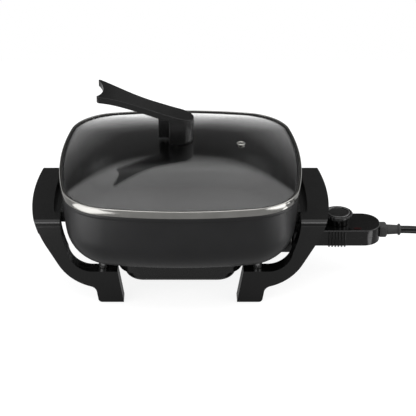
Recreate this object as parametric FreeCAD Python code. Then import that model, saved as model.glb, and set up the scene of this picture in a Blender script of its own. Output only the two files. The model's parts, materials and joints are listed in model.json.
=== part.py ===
import FreeCAD, Part
import math
import os

V = FreeCAD.Vector

# Electric skillet: a deep square die-cast pan on two arched side handles whose
# feet carry it, a loose glass lid with a lifting handle, and a plug-in
# temperature probe with its mains cord. Millimetres, Z up, feet on Z = 0,
# front towards -Y, probe on the +X side.

# Pan and lid, all one rounded square drawn with parallel offsets
LID_HALF = 160.0
LID_CORNER_R = 70.0
LID_SIDE_R = 542.0
LID_TOP_Z = 174.0
BAND_HEIGHT = 10.0
BAND_WALL = 1.2
PAN_INSET = 3.0
PAN_DRAFT_DEG = 1.5
PAN_WALL = 4.0
PAN_BOTTOM_Z = 72.0
PAN_EDGE_R = 50.0
RIM_DROP = 6.0
GLASS_THICK = 4.0
GLASS_EDGE = BAND_WALL + 1.3
GLASS_FLAT_Z = LID_TOP_Z - 5.5
DOME_EDGE = GLASS_EDGE + 6.0
DOME_RISE = 32.5
DOME_POWER = 2.2
DOME_STEPS = (1.0, 0.93, 0.83, 0.7, 0.55, 0.4, 0.25, 0.12)
GLASS_HOLE_R = 4.1
VENT_PLACE = (80.0, -2.0)
VENT_R = 5.5

# Side handles: one arch each, two legs and a flat grip
ARCH_HALF_DEPTH = 85.3
LEG_DEPTH = 22.0
GRIP_TOP_Z = 121.2
GRIP_THICK = 17.0
GRIP_REACH = 198.0
GRIP_ARC_R = 457.0
GRIP_INNER = 169.0
GRIP_BEND_R = 8.0
SHELF_X = 158.6
FOOT_PAD = 1.2
SPACER_PLACE = (102.0, 73.0)
SPACER_R = 8.0
LEG_ARM_TOP_Z = 47.5

# Heater base under the pan
COVER_HALF = (74.5, 84.0)
COVER_CORNER_R = 26.0
COVER_BOTTOM_Z = 34.5
COVER_EDGE_R = 12.0
COVER_WALL = 2.0
FLANGE_HALF = (82.0, 84.0)
FLANGE_Z = 47.8
FLANGE_EDGE_R = 3.0
ELEMENT_R = 4.0
ELEMENT_LOOP = (56.0, 62.0)
ELEMENT_BEND_R = 30.0
ELEMENT_START_X = 72.0
HEAT_PLATE = 4.0

# Probe socket and pins
PIN_Z = 62.0
PIN_R = 2.4
PIN_OUT = 11.0
PIN_TIP_X = 128.0
WELL_MOUTH_X = 118.0
WELL_BLIND_X = 54.0
ROD_R = 3.0
RUNNING_GAP = 0.08
SHROUD_HALF_Y = 34.0
SHROUD_Z = (48.0, 71.0)
SHROUD_END_X = 146.0
SHROUD_WALL = 1.5

# Temperature probe
PROBE_X = (150.0, 271.2)
PROBE_HALF_Y = 26.5
PROBE_Z = (54.5, 77.0)
PROBE_SPLIT_Z = 66.0
PROBE_END_R = 24.0
PROBE_WALL = 2.2
NOSE_HALF_Y = 22.0
NOSE_Z = (55.2, 68.8)
NOSE_TIP_X = 121.0
RIB_COUNT = 6
RIB_FIRST_X = 200.8
RIB_PITCH = 4.24
RIB_PROUD = 1.2
DIAL_X = 213.9
DIAL_R = 20.0
DIAL_TOP_Z = 92.0
DIAL_TEETH = 24
SKIRT_R = 16.0
SKIRT_FLUTES = 12
SPINDLE_R = 3.0

# Lid handle
STEM_R = 17.8
STEM_WALL = 4.0
STEM_BACK_X = -15.0
WING_TIP_X = -107.0
WING_TIP_HALF = 30.0
WING_WAIST_X = -30.0
WING_NOTCH = 6.5
WING_CORNER_R = 3.0
WING_THICK = 8.5
WING_TOP = ((20.0, 231.6), (-15.0, 241.2), (-62.0, 257.6), (-87.0, 267.1), (-112.0, 274.4))

# Mains cord
CORD_D = 10.5
CORD_Z = 65.5
RELIEF_END_X = 300.2
CORD_TURNS = 3.25
COIL_PITCH = 13.0
COIL_LIFT = 11.3
COIL_START_R = 60.0
COIL_LOWER_TURNS = 1.25
COIL_CLIMB_TURNS = 0.5
CORD_RUNS = ((34.0, 0.0), (34.0, -17.0), (25.0, -38.0), (24.0, -55.0),
             (24.0, -36.0), (28.0, -15.0), (24.0, 0.0))

# The origin is under the middle of the pan, handles and probe together
PAN_X = -(PROBE_X[1] - GRIP_REACH) / 2.0

parts = {}


def add(name, shape):
    moved = shape.copy()
    moved.translate(V(PAN_X, 0, 0))
    parts[name] = moved


def box(x0, x1, y0, y1, z0, z1):
    return Part.makeBox(x1 - x0, y1 - y0, z1 - z0, V(x0, y0, z0))


def rod(radius, start, end):
    a = V(*start)
    b = V(*end)
    return Part.makeCylinder(radius, (b - a).Length, a, b - a)


def tube(outer, inner, start, end):
    return rod(outer, start, end).cut(rod(inner, start, end))


def mirror_y(shape):
    return shape.mirror(V(0, 0, 0), V(0, 1, 0))


def mirror_x(shape):
    return shape.mirror(V(0, 0, 0), V(1, 0, 0))


def both_sides(shape):
    return [shape, mirror_y(shape)]


def rounded_square(half, corner_r, side_r, z):
    """A square whose sides and corners are all arcs, joined with one tangent."""
    reach = side_r - corner_r
    turn = math.pi / 4 + math.asin((half - side_r) / (math.sqrt(2) * reach))
    side_c = half - side_r
    corner_c = reach * math.sin(turn)
    edges = []
    for quarter in range(4):
        base = quarter * math.pi / 2

        def turned(x, y):
            return V(x * math.cos(base) - y * math.sin(base),
                     x * math.sin(base) + y * math.cos(base), z)

        def on_side(a):
            return turned(side_c + side_r * math.cos(a), side_r * math.sin(a))

        def on_corner(a):
            return turned(corner_c + corner_r * math.cos(a), corner_c + corner_r * math.sin(a))

        edges.append(Part.Arc(on_side(-turn), on_side(0), on_side(turn)).toShape())
        last = math.pi / 2 - turn
        edges.append(Part.Arc(on_corner(turn), on_corner(math.pi / 4), on_corner(last)).toShape())
    return Part.Wire(edges)


def plan_wire(offset, z):
    """The pan's rounded square, moved inwards from the lid's edge by offset."""
    return rounded_square(LID_HALF - offset, LID_CORNER_R - offset, LID_SIDE_R - offset, z)


def plan_prism(offset, z0, z1):
    return Part.Face(plan_wire(offset, z0)).extrude(V(0, 0, z1 - z0))


def round_box(x0, x1, half_y, z0, z1, near_r, far_r):
    """A flat slab whose corners at x0 and x1 have their own radii."""
    solid = box(x0, x1, -half_y, half_y, z0, z1)
    for x, r in ((x0, near_r), (x1, far_r)):
        edges = [e for e in solid.Edges
                 if abs(e.BoundBox.XMin - x) < 0.01 and abs(e.BoundBox.XMax - x) < 0.01
                 and e.BoundBox.ZLength > 0.9 * (z1 - z0) and e.BoundBox.YLength < 0.01]
        solid = solid.makeFillet(r, edges)
    return solid


def outline_wire(points, z=None, y=None):
    """A flat line through points; an entry of two points is an arc's middle and end."""
    def place(p):
        return V(p[0], p[1], z) if y is None else V(p[0], y, p[1])

    edges = []
    at = place(points[0])
    for entry in points[1:]:
        if isinstance(entry[0], tuple):
            middle, end = place(entry[0]), place(entry[1])
            edges.append(Part.Arc(at, middle, end).toShape())
        else:
            end = place(entry)
            edges.append(Part.LineSegment(at, end).toShape())
        at = end
    return Part.Wire(edges)


def outline_face(points, z=None, y=None):
    return Part.Face(outline_wire(points, z, y))


def pan_body(inset, bottom, edge_r, top):
    """A tapered rounded square with a large radius round its floor."""
    lost = math.tan(math.radians(PAN_DRAFT_DEG)) * (top - bottom)
    solid = Part.makeLoft([plan_wire(inset + lost, bottom), plan_wire(inset, top)], True, True)
    floor = [e for e in solid.Edges if e.BoundBox.ZMax < bottom + 0.01]
    return solid.makeFillet(edge_r, floor)


def make_pan():
    top = LID_TOP_Z - BAND_HEIGHT
    outside = pan_body(PAN_INSET, PAN_BOTTOM_Z, PAN_EDGE_R, top)
    inside = pan_body(PAN_INSET + PAN_WALL, PAN_BOTTOM_Z + PAN_WALL, PAN_EDGE_R - PAN_WALL, top + 1)
    lip = plan_prism(1.4, top - RIM_DROP, top)
    lip = lip.makeFillet(1.6, [e for e in lip.Edges if e.BoundBox.ZMax < top - RIM_DROP + 0.01])
    return outside.fuse(lip).cut(inside)


def make_handle():
    """The right-hand arch: C-shaped front and rear legs joined by the grip."""
    floor = FOOT_PAD
    leg = outline_face([
        (157.0, 126.0),
        ((155.0, 103.0), (148.0, 77.0)),
        ((138.5, 57.0), (118.0, LEG_ARM_TOP_Z)),
        (83.0, LEG_ARM_TOP_Z),
        (75.3, floor),
        (104.4, floor),
        ((107.9, 2.9), (109.4, 7.0)),
        (110.7, 14.6),
        ((112.9, 21.2), (119.0, 25.1)),
        ((144.0, 38.0), (160.5, 57.8)),
        (176.4, 86.8),
        ((184.9, 106.5), (190.0, 126.0)),
        (157.0, 126.0),
    ], y=-ARCH_HALF_DEPTH)
    legs = leg.extrude(V(0, LEG_DEPTH, 0))
    grip = make_grip_blank()
    arch = legs.fuse(mirror_y(legs)).fuse(grip)
    arch = arch.common(make_arch_envelope())
    return arch.removeSplitter()


def grip_face(reach, inner, z):
    half = ARCH_HALF_DEPTH
    sag = reach - GRIP_ARC_R + math.sqrt(GRIP_ARC_R ** 2 - half ** 2)
    mid = half - LEG_DEPTH - 4.0
    corner = 157.0 + (inner - 157.0)
    return outline_face([
        (157.0, -half),
        (sag, -half),
        ((reach, 0.0), (sag, half)),
        (157.0, half),
        (157.0, mid + 4.0),
        ((159.5, mid + 1.0), (corner - 3.0, mid - 4.0)),
        ((inner, 0.0), (corner - 3.0, 4.0 - mid)),
        ((159.5, -mid - 1.0), (157.0, -mid - 4.0)),
        (157.0, -half),
    ], z=z)


def make_grip_blank():
    top = grip_face(GRIP_REACH, GRIP_INNER, GRIP_TOP_Z)
    low = grip_face(GRIP_REACH - 5.0, GRIP_INNER, GRIP_TOP_Z - GRIP_THICK)
    blank = Part.makeLoft([low.OuterWire, top.OuterWire], True, True)
    shelf = box(SHELF_X, 172.0, -60.0, 60.0, GRIP_TOP_Z - GRIP_THICK, GRIP_TOP_Z - 12.0)
    return blank.fuse(shelf)


def make_arch_envelope():
    """Everything under the grip's top with the bends where it turns into the legs."""
    half = ARCH_HALF_DEPTH
    r = GRIP_BEND_R
    top = GRIP_TOP_Z
    solid = box(60.0, 220.0, -half, half, 0.0, top)
    edges = [e for e in solid.Edges
             if e.BoundBox.XLength > 100 and e.BoundBox.ZMin > top - 0.01]
    return solid.makeFillet(r, edges)


def make_bracket():
    """A pressed steel strap on the pan's wall that the grip's shelf is screwed down on."""
    z = GRIP_TOP_Z - GRIP_THICK
    plate = box(149.0, 167.0, -48.0, 48.0, z - 2.0, z)
    upright = box(149.0, SHELF_X - 0.2, -48.0, 48.0, z - 2.0, z + 13.0)
    strap = plate.fuse(upright)
    pan = pan_body(PAN_INSET - 0.02, PAN_BOTTOM_Z, PAN_EDGE_R, LID_TOP_Z - BAND_HEIGHT)
    strap = strap.cut(pan)
    for y in (-34.0, 34.0):
        strap = strap.cut(rod(2.1, (162.5, y, z - 3.0), (162.5, y, z + 1.0)))
    return strap


def make_bracket_screws(side):
    z = GRIP_TOP_Z - GRIP_THICK
    screws = []
    for y in (-34.0, 34.0):
        shank = rod(2.0, (162.5, y, z - 2.0), (162.5, y, z + 4.0))
        head = Part.makeSphere(4.6, V(162.5, y, z + 1.2), V(0, 0, 1), -90, 90)
        head = head.common(box(155.0, 170.0, y - 5, y + 5, z - 5.0, z - 2.0))
        screws.append(shank.fuse(head))
    group = Part.makeCompound(screws)
    return group if side > 0 else mirror_x(group)


def cover_tray(half, shrink, z0, z1, edge_r):
    hx = half[0] - shrink
    hy = half[1] - shrink
    solid = box(-hx, hx, -hy, hy, z0, z1)
    uprights = [e for e in solid.Edges if e.BoundBox.ZLength > 0.9 * (z1 - z0)]
    solid = solid.makeFillet(COVER_CORNER_R - shrink, uprights)
    return solid.makeFillet(edge_r, [e for e in solid.Edges if e.BoundBox.ZMax < z0 + 0.01])


def cover_blank():
    """The tray's outside: a rounded box with a wider flange that meets the pan."""
    top = PAN_BOTTOM_Z
    tray = cover_tray(COVER_HALF, 0.0, COVER_BOTTOM_Z, top, COVER_EDGE_R)
    return tray.fuse(cover_tray(FLANGE_HALF, 0.0, FLANGE_Z, top, FLANGE_EDGE_R))


def make_cover():
    """The heater cover: a shallow pressed tray with vents in its floor."""
    top = PAN_BOTTOM_Z
    w = COVER_WALL
    shell = cover_blank()
    shell = shell.cut(cover_tray(COVER_HALF, w, COVER_BOTTOM_Z + w, top + 1.0, COVER_EDGE_R - w))
    shell = shell.cut(cover_tray(FLANGE_HALF, w, FLANGE_Z + w, top + 1.0, FLANGE_EDGE_R - w))
    for row in range(-3, 4):
        x = row * 14.0
        slot = box(x - 2.0, x + 2.0, -22.0, 22.0, COVER_BOTTOM_Z - 1, COVER_BOTTOM_Z + COVER_WALL + 1)
        slot = slot.makeFillet(1.9, [e for e in slot.Edges if e.BoundBox.ZLength > 3])
        shell = shell.cut(slot)
    window = box(60.0, 90.0, -24.0, 24.0, PIN_Z - 8.0, PIN_Z + 8.0)
    shell = shell.cut(window)
    for x, y in cover_screw_places():
        shell = shell.fuse(tube(4.5, 2.1, (x, y, COVER_BOTTOM_Z + 1.0), (x, y, top)))
        shell = shell.cut(rod(2.1, (x, y, COVER_BOTTOM_Z - 1), (x, y, top)))
    return shell


def cover_screw_places():
    return [(sx * 40.0, sy * 70.0) for sx in (-1, 1) for sy in (-1, 1)]


def make_cover_screws():
    screws = []
    for x, y in cover_screw_places():
        shank = rod(2.0, (x, y, COVER_BOTTOM_Z), (x, y, PAN_BOTTOM_Z - 1.0))
        head = Part.makeSphere(5.5, V(x, y, COVER_BOTTOM_Z + 3.6))
        head = head.common(box(x - 6, x + 6, y - 6, y + 6, COVER_BOTTOM_Z - 3, COVER_BOTTOM_Z))
        cross = box(x - 2.4, x + 2.4, y - 0.5, y + 0.5, COVER_BOTTOM_Z - 3, COVER_BOTTOM_Z - 1.1)
        cross = cross.fuse(box(x - 0.5, x + 0.5, y - 2.4, y + 2.4, COVER_BOTTOM_Z - 3, COVER_BOTTOM_Z - 1.1))
        screws.append(shank.fuse(head).cut(cross))
    return Part.makeCompound(screws)


def element_path(z):
    """The heating loop under the pan: in at one terminal, round, and out at the other."""
    hx, hy = ELEMENT_LOOP
    r = ELEMENT_BEND_R
    k = r * (1 - math.sqrt(0.5))
    small = 8.0
    q = small * (1 - math.sqrt(0.5))
    near = hx - 12.0
    gap = PIN_OUT
    return outline_wire([
        (ELEMENT_START_X, gap),
        (near + small, gap),
        ((near + q, gap + q), (near, gap + small)),
        (near, hy - r),
        ((near - k, hy - k), (near - r, hy)),
        (r - hx, hy),
        ((k - hx, hy - k), (-hx, hy - r)),
        (-hx, r - hy),
        ((k - hx, k - hy), (r - hx, -hy)),
        (near - r, -hy),
        ((near - k, k - hy), (near, r - hy)),
        (near, -gap - small),
        ((near + q, -gap - q), (near + small, -gap)),
        (ELEMENT_START_X, -gap),
    ], z=z)


def make_element():
    z = PAN_BOTTOM_Z - HEAT_PLATE - ELEMENT_R
    start = V(ELEMENT_START_X, PIN_OUT, z)
    ring = Part.Wire(Part.makeCircle(ELEMENT_R, start, V(1, 0, 0)))
    return element_path(z).makePipeShell([ring], True, False)


def make_heat_plate():
    """The aluminium plate that spreads the element's heat under the pan."""
    top = PAN_BOTTOM_Z
    plate = box(-64.0, 64.0, -72.0, 72.0, top - HEAT_PLATE, top)
    plate = plate.makeFillet(24.0, [e for e in plate.Edges if e.BoundBox.ZLength > 0.9 * HEAT_PLATE])
    for x, y in cover_screw_places():
        plate = plate.cut(rod(5.0, (x, y, top - 5.0), (x, y, top + 1.0)))
    return plate


def make_terminal_block():
    block = box(72.5, 84.0, -20.0, 20.0, PIN_Z - 6.5, PIN_Z + 6.5)
    block = block.makeFillet(2.0, [e for e in block.Edges if e.BoundBox.XLength > 10])
    for y in (-PIN_OUT, PIN_OUT):
        block = block.cut(rod(PIN_R, (70, y, PIN_Z), (90, y, PIN_Z)))
    return block.cut(rod(ROD_R + 1.1, (70, 0, PIN_Z), (90, 0, PIN_Z)))


def make_terminal_pins():
    pins = []
    for y in (-PIN_OUT, PIN_OUT):
        pin = rod(PIN_R, (72.5, y, PIN_Z), (PIN_TIP_X, y, PIN_Z))
        tip = [e for e in pin.Edges if e.BoundBox.XMin > PIN_TIP_X - 0.01]
        pins.append(pin.makeFillet(1.6, tip))
    return Part.makeCompound(pins)


def make_sensor_well():
    well = tube(ROD_R + 1.1, ROD_R + RUNNING_GAP, (WELL_BLIND_X + 3.0, 0, PIN_Z), (WELL_MOUTH_X, 0, PIN_Z))
    return well.fuse(rod(ROD_R + 1.1, (WELL_BLIND_X, 0, PIN_Z), (WELL_BLIND_X + 3.0, 0, PIN_Z)))


def make_shroud():
    """The guard round the two pins, screwed to the heater cover's side."""
    z0, z1 = SHROUD_Z
    start = COVER_HALF[0]
    w = SHROUD_WALL
    body = box(start, SHROUD_END_X, -SHROUD_HALF_Y, SHROUD_HALF_Y, z0, z1)
    body = body.makeFillet(5.0, [e for e in body.Edges if e.BoundBox.XLength > 60])
    hole = box(start + 8.0, SHROUD_END_X + 1, w - SHROUD_HALF_Y, SHROUD_HALF_Y - w, z0 + w, z1 - w)
    hole = hole.makeFillet(3.5, [e for e in hole.Edges if e.BoundBox.XLength > 50])
    body = body.cut(hole)
    opening = box(start - 1, start + 9.0, -20.0, 20.0, PIN_Z - 6.5, PIN_Z + 6.5)
    opening = opening.makeFillet(2.0, [e for e in opening.Edges if e.BoundBox.XLength > 9])
    return body.cut(opening).cut(cover_blank())


def make_spacer(sx, sy):
    x, y = SPACER_PLACE
    cone = Part.makeCone(5.4, SPACER_R, PAN_BOTTOM_Z - LEG_ARM_TOP_Z,
                         V(sx * x, sy * y, LEG_ARM_TOP_Z), V(0, 0, 1))
    return cone.cut(rod(2.1, (sx * x, sy * y, LEG_ARM_TOP_Z - 1), (sx * x, sy * y, PAN_BOTTOM_Z - 3)))


def make_spacers():
    return Part.makeCompound([make_spacer(sx, sy) for sx in (-1, 1) for sy in (-1, 1)])


def make_handle_screws():
    """One long screw up through each leg's arm into its spacer, head in a counterbore."""
    x, y = SPACER_PLACE
    seat = 24.0
    screws = []
    for sx in (-1, 1):
        for sy in (-1, 1):
            shank = rod(2.0, (sx * x, sy * y, seat), (sx * x, sy * y, PAN_BOTTOM_Z - 4.0))
            head = rod(4.0, (sx * x, sy * y, seat - 3.0), (sx * x, sy * y, seat))
            slot = box(-0.6, 0.6, -3.0, 3.0, seat - 4.0, seat - 2.0)
            slot.translate(V(sx * x, sy * y, 0))
            screws.append(shank.fuse(head).cut(slot))
    return Part.makeCompound(screws)


def drill_for_screws(handle):
    x, y = SPACER_PLACE
    seat = 24.0
    for sy in (-1, 1):
        handle = handle.cut(rod(2.1, (x, sy * y, seat - 1), (x, sy * y, LEG_ARM_TOP_Z + 1)))
        handle = handle.cut(rod(4.6, (x, sy * y, -1.0), (x, sy * y, seat)))
    for y2 in (-34.0, 34.0):
        z = GRIP_TOP_Z - GRIP_THICK
        handle = handle.cut(rod(2.0, (162.5, y2, z - 1.0), (162.5, y2, z + 4.0)))
    return handle


def make_feet():
    pads = []
    x0, x1 = 78.0, 104.0
    for sx in (-1, 1):
        for sy in (-1, 1):
            y = sy * (ARCH_HALF_DEPTH - LEG_DEPTH / 2)
            pad = box(-13.0, 13.0, -8.5, 8.5, 0.0, FOOT_PAD + 2.0)
            pad = pad.makeFillet(5.0, [e for e in pad.Edges if e.BoundBox.ZLength > 2])
            pad.translate(V(sx * (x0 + x1) / 2, y, 0))
            pads.append(pad)
    return pads


def place_feet(handle, pads):
    for pad in pads:
        handle = handle.cut(pad)
    return handle


def dome_z(share):
    """Height of the glass's top where the plan has shrunk to this share of the edge."""
    return GLASS_FLAT_Z + DOME_RISE * (1 - share ** DOME_POWER)


def dome_section(share, drop):
    """The rounded square that grows rounder as it shrinks towards the middle."""
    half = (LID_HALF - DOME_EDGE) * share
    edge_corner = (LID_CORNER_R - DOME_EDGE) / (LID_HALF - DOME_EDGE)
    edge_side = (LID_SIDE_R - DOME_EDGE) / (LID_HALF - DOME_EDGE)
    corner_r = half * (edge_corner * share + 0.9 * (1 - share))
    side_r = half * (edge_side * share + 1.3 * (1 - share))
    return rounded_square(half, corner_r, side_r, dome_z(share) - drop)


def dome_solid(drop, base_z):
    """The dome's outside, lowered by drop and carried straight down to base_z."""
    dome = Part.makeLoft([dome_section(s, drop) for s in DOME_STEPS], True, False)
    return dome.fuse(plan_prism(DOME_EDGE, base_z, GLASS_FLAT_Z - drop))


def make_glass():
    """Pressed glass: a flat edge for the band, then the dome."""
    low = GLASS_FLAT_Z - GLASS_THICK
    flat = plan_prism(GLASS_EDGE, low, GLASS_FLAT_Z)
    glass = flat.fuse(dome_solid(0.0, low))
    glass = glass.cut(dome_solid(GLASS_THICK, low - GLASS_THICK))
    glass = glass.cut(rod(GLASS_HOLE_R, (0, 0, low - 6), (0, 0, LID_TOP_Z + 60)))
    x, y = VENT_PLACE
    return glass.cut(rod(VENT_R - 1.5, (x, y, low - 6), (x, y, LID_TOP_Z + 60)))


def glass_top_z(x, y):
    share = math.hypot(x, y) / (LID_HALF - DOME_EDGE)
    return dome_z(max(share, DOME_STEPS[-1]))


def make_lid_rim():
    """The stainless channel rolled round the glass's edge."""
    z0 = LID_TOP_Z - BAND_HEIGHT
    band = plan_prism(0.0, z0, LID_TOP_Z)
    band = band.makeFillet(1.0, [e for e in band.Edges if e.BoundBox.ZMin > LID_TOP_Z - 0.01])
    band = band.cut(plan_prism(BAND_WALL, z0 - 1, LID_TOP_Z - BAND_WALL))
    return band.cut(plan_prism(4.6, z0 - 1, LID_TOP_Z + 1))


def make_gasket():
    """The silicone ring between the band and the glass."""
    z0 = LID_TOP_Z - BAND_HEIGHT
    top = LID_TOP_Z - BAND_WALL
    ring = plan_prism(BAND_WALL, z0 + 0.1, top)
    ring = ring.cut(plan_prism(GLASS_EDGE + 5.2, z0 - 1, top + 1))
    return ring.cut(plan_prism(GLASS_EDGE, GLASS_FLAT_Z - GLASS_THICK, GLASS_FLAT_Z))


def make_vent():
    x, y = VENT_PLACE
    z = glass_top_z(x, y)
    low = rod(VENT_R - 1.5, (x, y, z - 7.5), (x, y, z + 2.2))
    flange = Part.makeCone(VENT_R + 0.4, VENT_R - 1.0, 1.8, V(x, y, z + 0.4), V(0, 0, 1))
    under = rod(VENT_R - 0.2, (x, y, z - 7.5), (x, y, z - 6.5))
    eyelet = low.fuse(flange).fuse(under)
    return eyelet.cut(rod(VENT_R - 2.4, (x, y, z - 9), (x, y, z + 4)))


def wing_plan():
    """The lifting wing seen from above: round nose, waist, and a flared tip with a notch."""
    hw = WING_TIP_HALF
    tip = WING_TIP_X
    flare_mid = ((WING_WAIST_X + tip) / 2 - 2.0, STEM_R + 2.7)
    r = WING_CORNER_R
    return outline_face([
        (WING_WAIST_X, -STEM_R),
        (0.0, -STEM_R),
        ((STEM_R, 0.0), (0.0, STEM_R)),
        (WING_WAIST_X, STEM_R),
        (flare_mid, (tip + r, hw)),
        ((tip, hw - 0.6), (tip + 0.6, hw - 1.6 * r)),
        ((tip + WING_NOTCH, 0.0), (tip + 0.6, 1.6 * r - hw)),
        ((tip, 0.6 - hw), (tip + r, -hw)),
        ((flare_mid[0], -flare_mid[1]), (WING_WAIST_X, -STEM_R)),
    ], z=LID_TOP_Z)


def wing_curve(drop):
    """The wing's top line in side view, lowered by drop."""
    curve = Part.BSplineCurve()
    curve.interpolate([V(x, -40.0, z - drop) for x, z in WING_TOP])
    return curve.toShape()


def make_wing_slab():
    """Between two sheets that follow the wing's bent top line."""
    top, low = wing_curve(0.0), wing_curve(WING_THICK)
    ends = [Part.LineSegment(top.Vertexes[i].Point, low.Vertexes[i].Point).toShape() for i in (0, 1)]
    face = Part.Face(Part.Wire([top, ends[1], low.reversed(), ends[0]]))
    return face.extrude(V(0, 80.0, 0))


def make_lid_handle():
    wing = wing_plan().extrude(V(0, 0, 120.0)).common(make_wing_slab())
    seat = glass_top_z(0, 0) + 2.0
    handle = wing.fuse(make_stem_cup(seat))
    return handle.cut(rod(2.0, (0, 0, seat - 5), (0, 0, seat + 24.0)))


def under_wing(seat):
    """Everything between the seat and the middle of the wing's thickness."""
    low = wing_curve(WING_THICK / 2)
    a, b = low.Vertexes[0].Point, low.Vertexes[1].Point
    corners = [V(a.x, a.y, seat), V(b.x, b.y, seat)]
    sides = [Part.LineSegment(a, corners[0]).toShape(), Part.LineSegment(corners[0], corners[1]).toShape(),
             Part.LineSegment(corners[1], b).toShape()]
    return Part.Face(Part.Wire([low, sides[2], sides[1], sides[0]])).extrude(V(0, 80.0, 0))


def make_stem_cup(seat):
    """The stem: a wall round the front, open towards the wing, a centre post and a web."""
    height = 80.0
    back = STEM_BACK_X
    wall = rod(STEM_R, (0, 0, seat), (0, 0, seat + height))
    wall = wall.fuse(box(back, 0.0, -STEM_R, STEM_R, seat, seat + height))
    wall = wall.cut(box(back - 10.0, back, -STEM_R, STEM_R, seat, seat + height))
    inner = STEM_R - STEM_WALL
    hollow = rod(inner, (0, 0, seat + 3.0), (0, 0, seat + height))
    hollow = hollow.fuse(box(back - 10.0, 0.0, -inner, inner, seat + 3.0, seat + height))
    post = rod(6.0, (0, 0, seat), (0, 0, seat + height))
    web = box(-29.0, 0.0, -5.0, 7.0, seat, seat + height)
    web = web.cut(box(-30.0, back + 0.1, -8, 8, seat - 1, seat + 2.0))
    return wall.cut(hollow).fuse(post).fuse(web).common(under_wing(seat))


def make_handle_seat(glass):
    top = glass_top_z(0, 0)
    out = STEM_R + 1.5
    ring = rod(out, (0, 0, top - 1.0), (0, 0, top + 2.0))
    ring = ring.cut(box(-out, STEM_BACK_X - 1.0, -out, out, top - 1.1, top + 2.1))
    return ring.cut(rod(2.2, (0, 0, top - 3), (0, 0, top + 3))).cut(glass)


def make_inner_washer():
    low = glass_top_z(0, 0) - GLASS_THICK - 0.1
    disc = rod(15.0, (0, 0, low - 2.0), (0, 0, low - 0.6))
    return disc.cut(rod(2.2, (0, 0, low - 4), (0, 0, low + 4)))


def make_lid_screw():
    low = glass_top_z(0, 0) - GLASS_THICK - 2.1
    head = Part.makeSphere(7.0, V(0, 0, low + 3.6))
    head = head.common(box(-8, 8, -8, 8, low - 5, low))
    head = head.cut(box(-3.5, 3.5, -0.6, 0.6, low - 5, low - 2.0))
    return head.fuse(rod(2.0, (0, 0, low - 0.5), (0, 0, low + 26.0)))


def probe_prism(shrink, z0, z1):
    return round_box(PROBE_X[0] + shrink, PROBE_X[1] - shrink, PROBE_HALF_Y - shrink, z0, z1,
                     3.0, PROBE_END_R - shrink)


def probe_ribs(z0, z1):
    ribs = []
    for i in range(RIB_COUNT):
        x = RIB_FIRST_X + i * RIB_PITCH
        rib = rod(RIB_PROUD, (x, -PROBE_HALF_Y, z0), (x, -PROBE_HALF_Y, z1))
        ribs += both_sides(rib)
    return ribs


def make_lower_housing():
    z0, z1 = PROBE_Z[0], PROBE_SPLIT_Z
    solid = probe_prism(0.0, z0, z1)
    solid = solid.fuse(probe_ribs(z0, z1))
    hollow = probe_prism(PROBE_WALL, z0 + PROBE_WALL, z1 + 1)
    solid = solid.cut(hollow)
    for x, y in housing_screw_places():
        solid = solid.fuse(rod(3.4, (x, y, z0), (x, y, z1)))
        solid = solid.cut(rod(1.6, (x, y, z0 - 1), (x, y, z1 + 1)))
        solid = solid.cut(rod(2.8, (x, y, z0 - 1), (x, y, z0 + 2.4)))
    return cut_housing_openings(solid)


def make_upper_housing():
    z0, z1 = PROBE_SPLIT_Z, PROBE_Z[1]
    solid = probe_prism(0.0, z0, z1)
    top = [e for e in solid.Edges if e.BoundBox.ZMin > z1 - 0.01]
    solid = solid.makeFillet(1.4, top)
    solid = solid.fuse(probe_ribs(z0, z1 - 2.0))
    solid = solid.cut(probe_prism(PROBE_WALL, z0 - 1, z1 - PROBE_WALL))
    for x, y in housing_screw_places():
        solid = solid.fuse(tube(3.4, 1.3, (x, y, z0), (x, y, z1 - 1.5)))
    solid = solid.fuse(tube(6.0, SPINDLE_R + RUNNING_GAP, (DIAL_X, 0, z1 - 6.0), (DIAL_X, 0, z1)))
    solid = solid.cut(rod(SPINDLE_R + RUNNING_GAP, (DIAL_X, 0, z1 - 9), (DIAL_X, 0, z1 + 1)))
    solid = solid.cut(lens_shape(z1 - 4.0, z1 + 1))
    return cut_housing_openings(solid)


def lens_shape(z0, z1):
    lens = box(-5.0, 5.0, -1.8, 1.8, z0, z1)
    lens = lens.makeFillet(1.7, [e for e in lens.Edges if e.BoundBox.ZLength > 2])
    lens.translate(V(239.0, -19.5, 0))
    return lens


def housing_screw_places():
    return [(sx, sy * 19.0) for sx in (162.0, 246.0) for sy in (-1, 1)]


def cut_housing_openings(solid):
    """Room for the front plate and nose, and for the cord's collar."""
    solid = solid.cut(box(149.0, 153.0, -NOSE_HALF_Y, NOSE_HALF_Y, NOSE_Z[0], NOSE_Z[1]))
    x = PROBE_X[1]
    return solid.cut(box(x - 4.0, x + 1.0, -6.0, 6.0, CORD_Z - 5.5, CORD_Z + 5.5))


def make_nose():
    """The heat-proof moulding that carries the contacts into the socket guard."""
    z0, z1 = NOSE_Z
    nose = box(NOSE_TIP_X, 164.0, -NOSE_HALF_Y, NOSE_HALF_Y, z0, z1)
    nose = nose.makeFillet(3.0, [e for e in nose.Edges if e.BoundBox.XLength > 40])
    nose = nose.cut(box(150.0, 165.0, -30.0, 30.0, z1 - 2.0, z1 + 1))
    nose = nose.cut(box(153.0, 165.0, -30.0, 30.0, z0 - 1, PROBE_Z[0] + PROBE_WALL))
    for y in (-PIN_OUT, PIN_OUT):
        nose = nose.cut(rod(3.6, (NOSE_TIP_X - 1, y, PIN_Z), (156.0, y, PIN_Z)))
        nose = nose.cut(box(155.0, 167.0, y - 1.5, y + 1.5, PIN_Z - 0.4, PIN_Z + 0.4))
    nose = nose.cut(box(153.0, 165.0, -22.1, -14.5, 50, 80)).cut(box(153.0, 165.0, 14.5, 22.1, 50, 80))
    return nose.cut(rod(ROD_R, (NOSE_TIP_X - 1, 0, PIN_Z), (170.0, 0, PIN_Z)))


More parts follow.
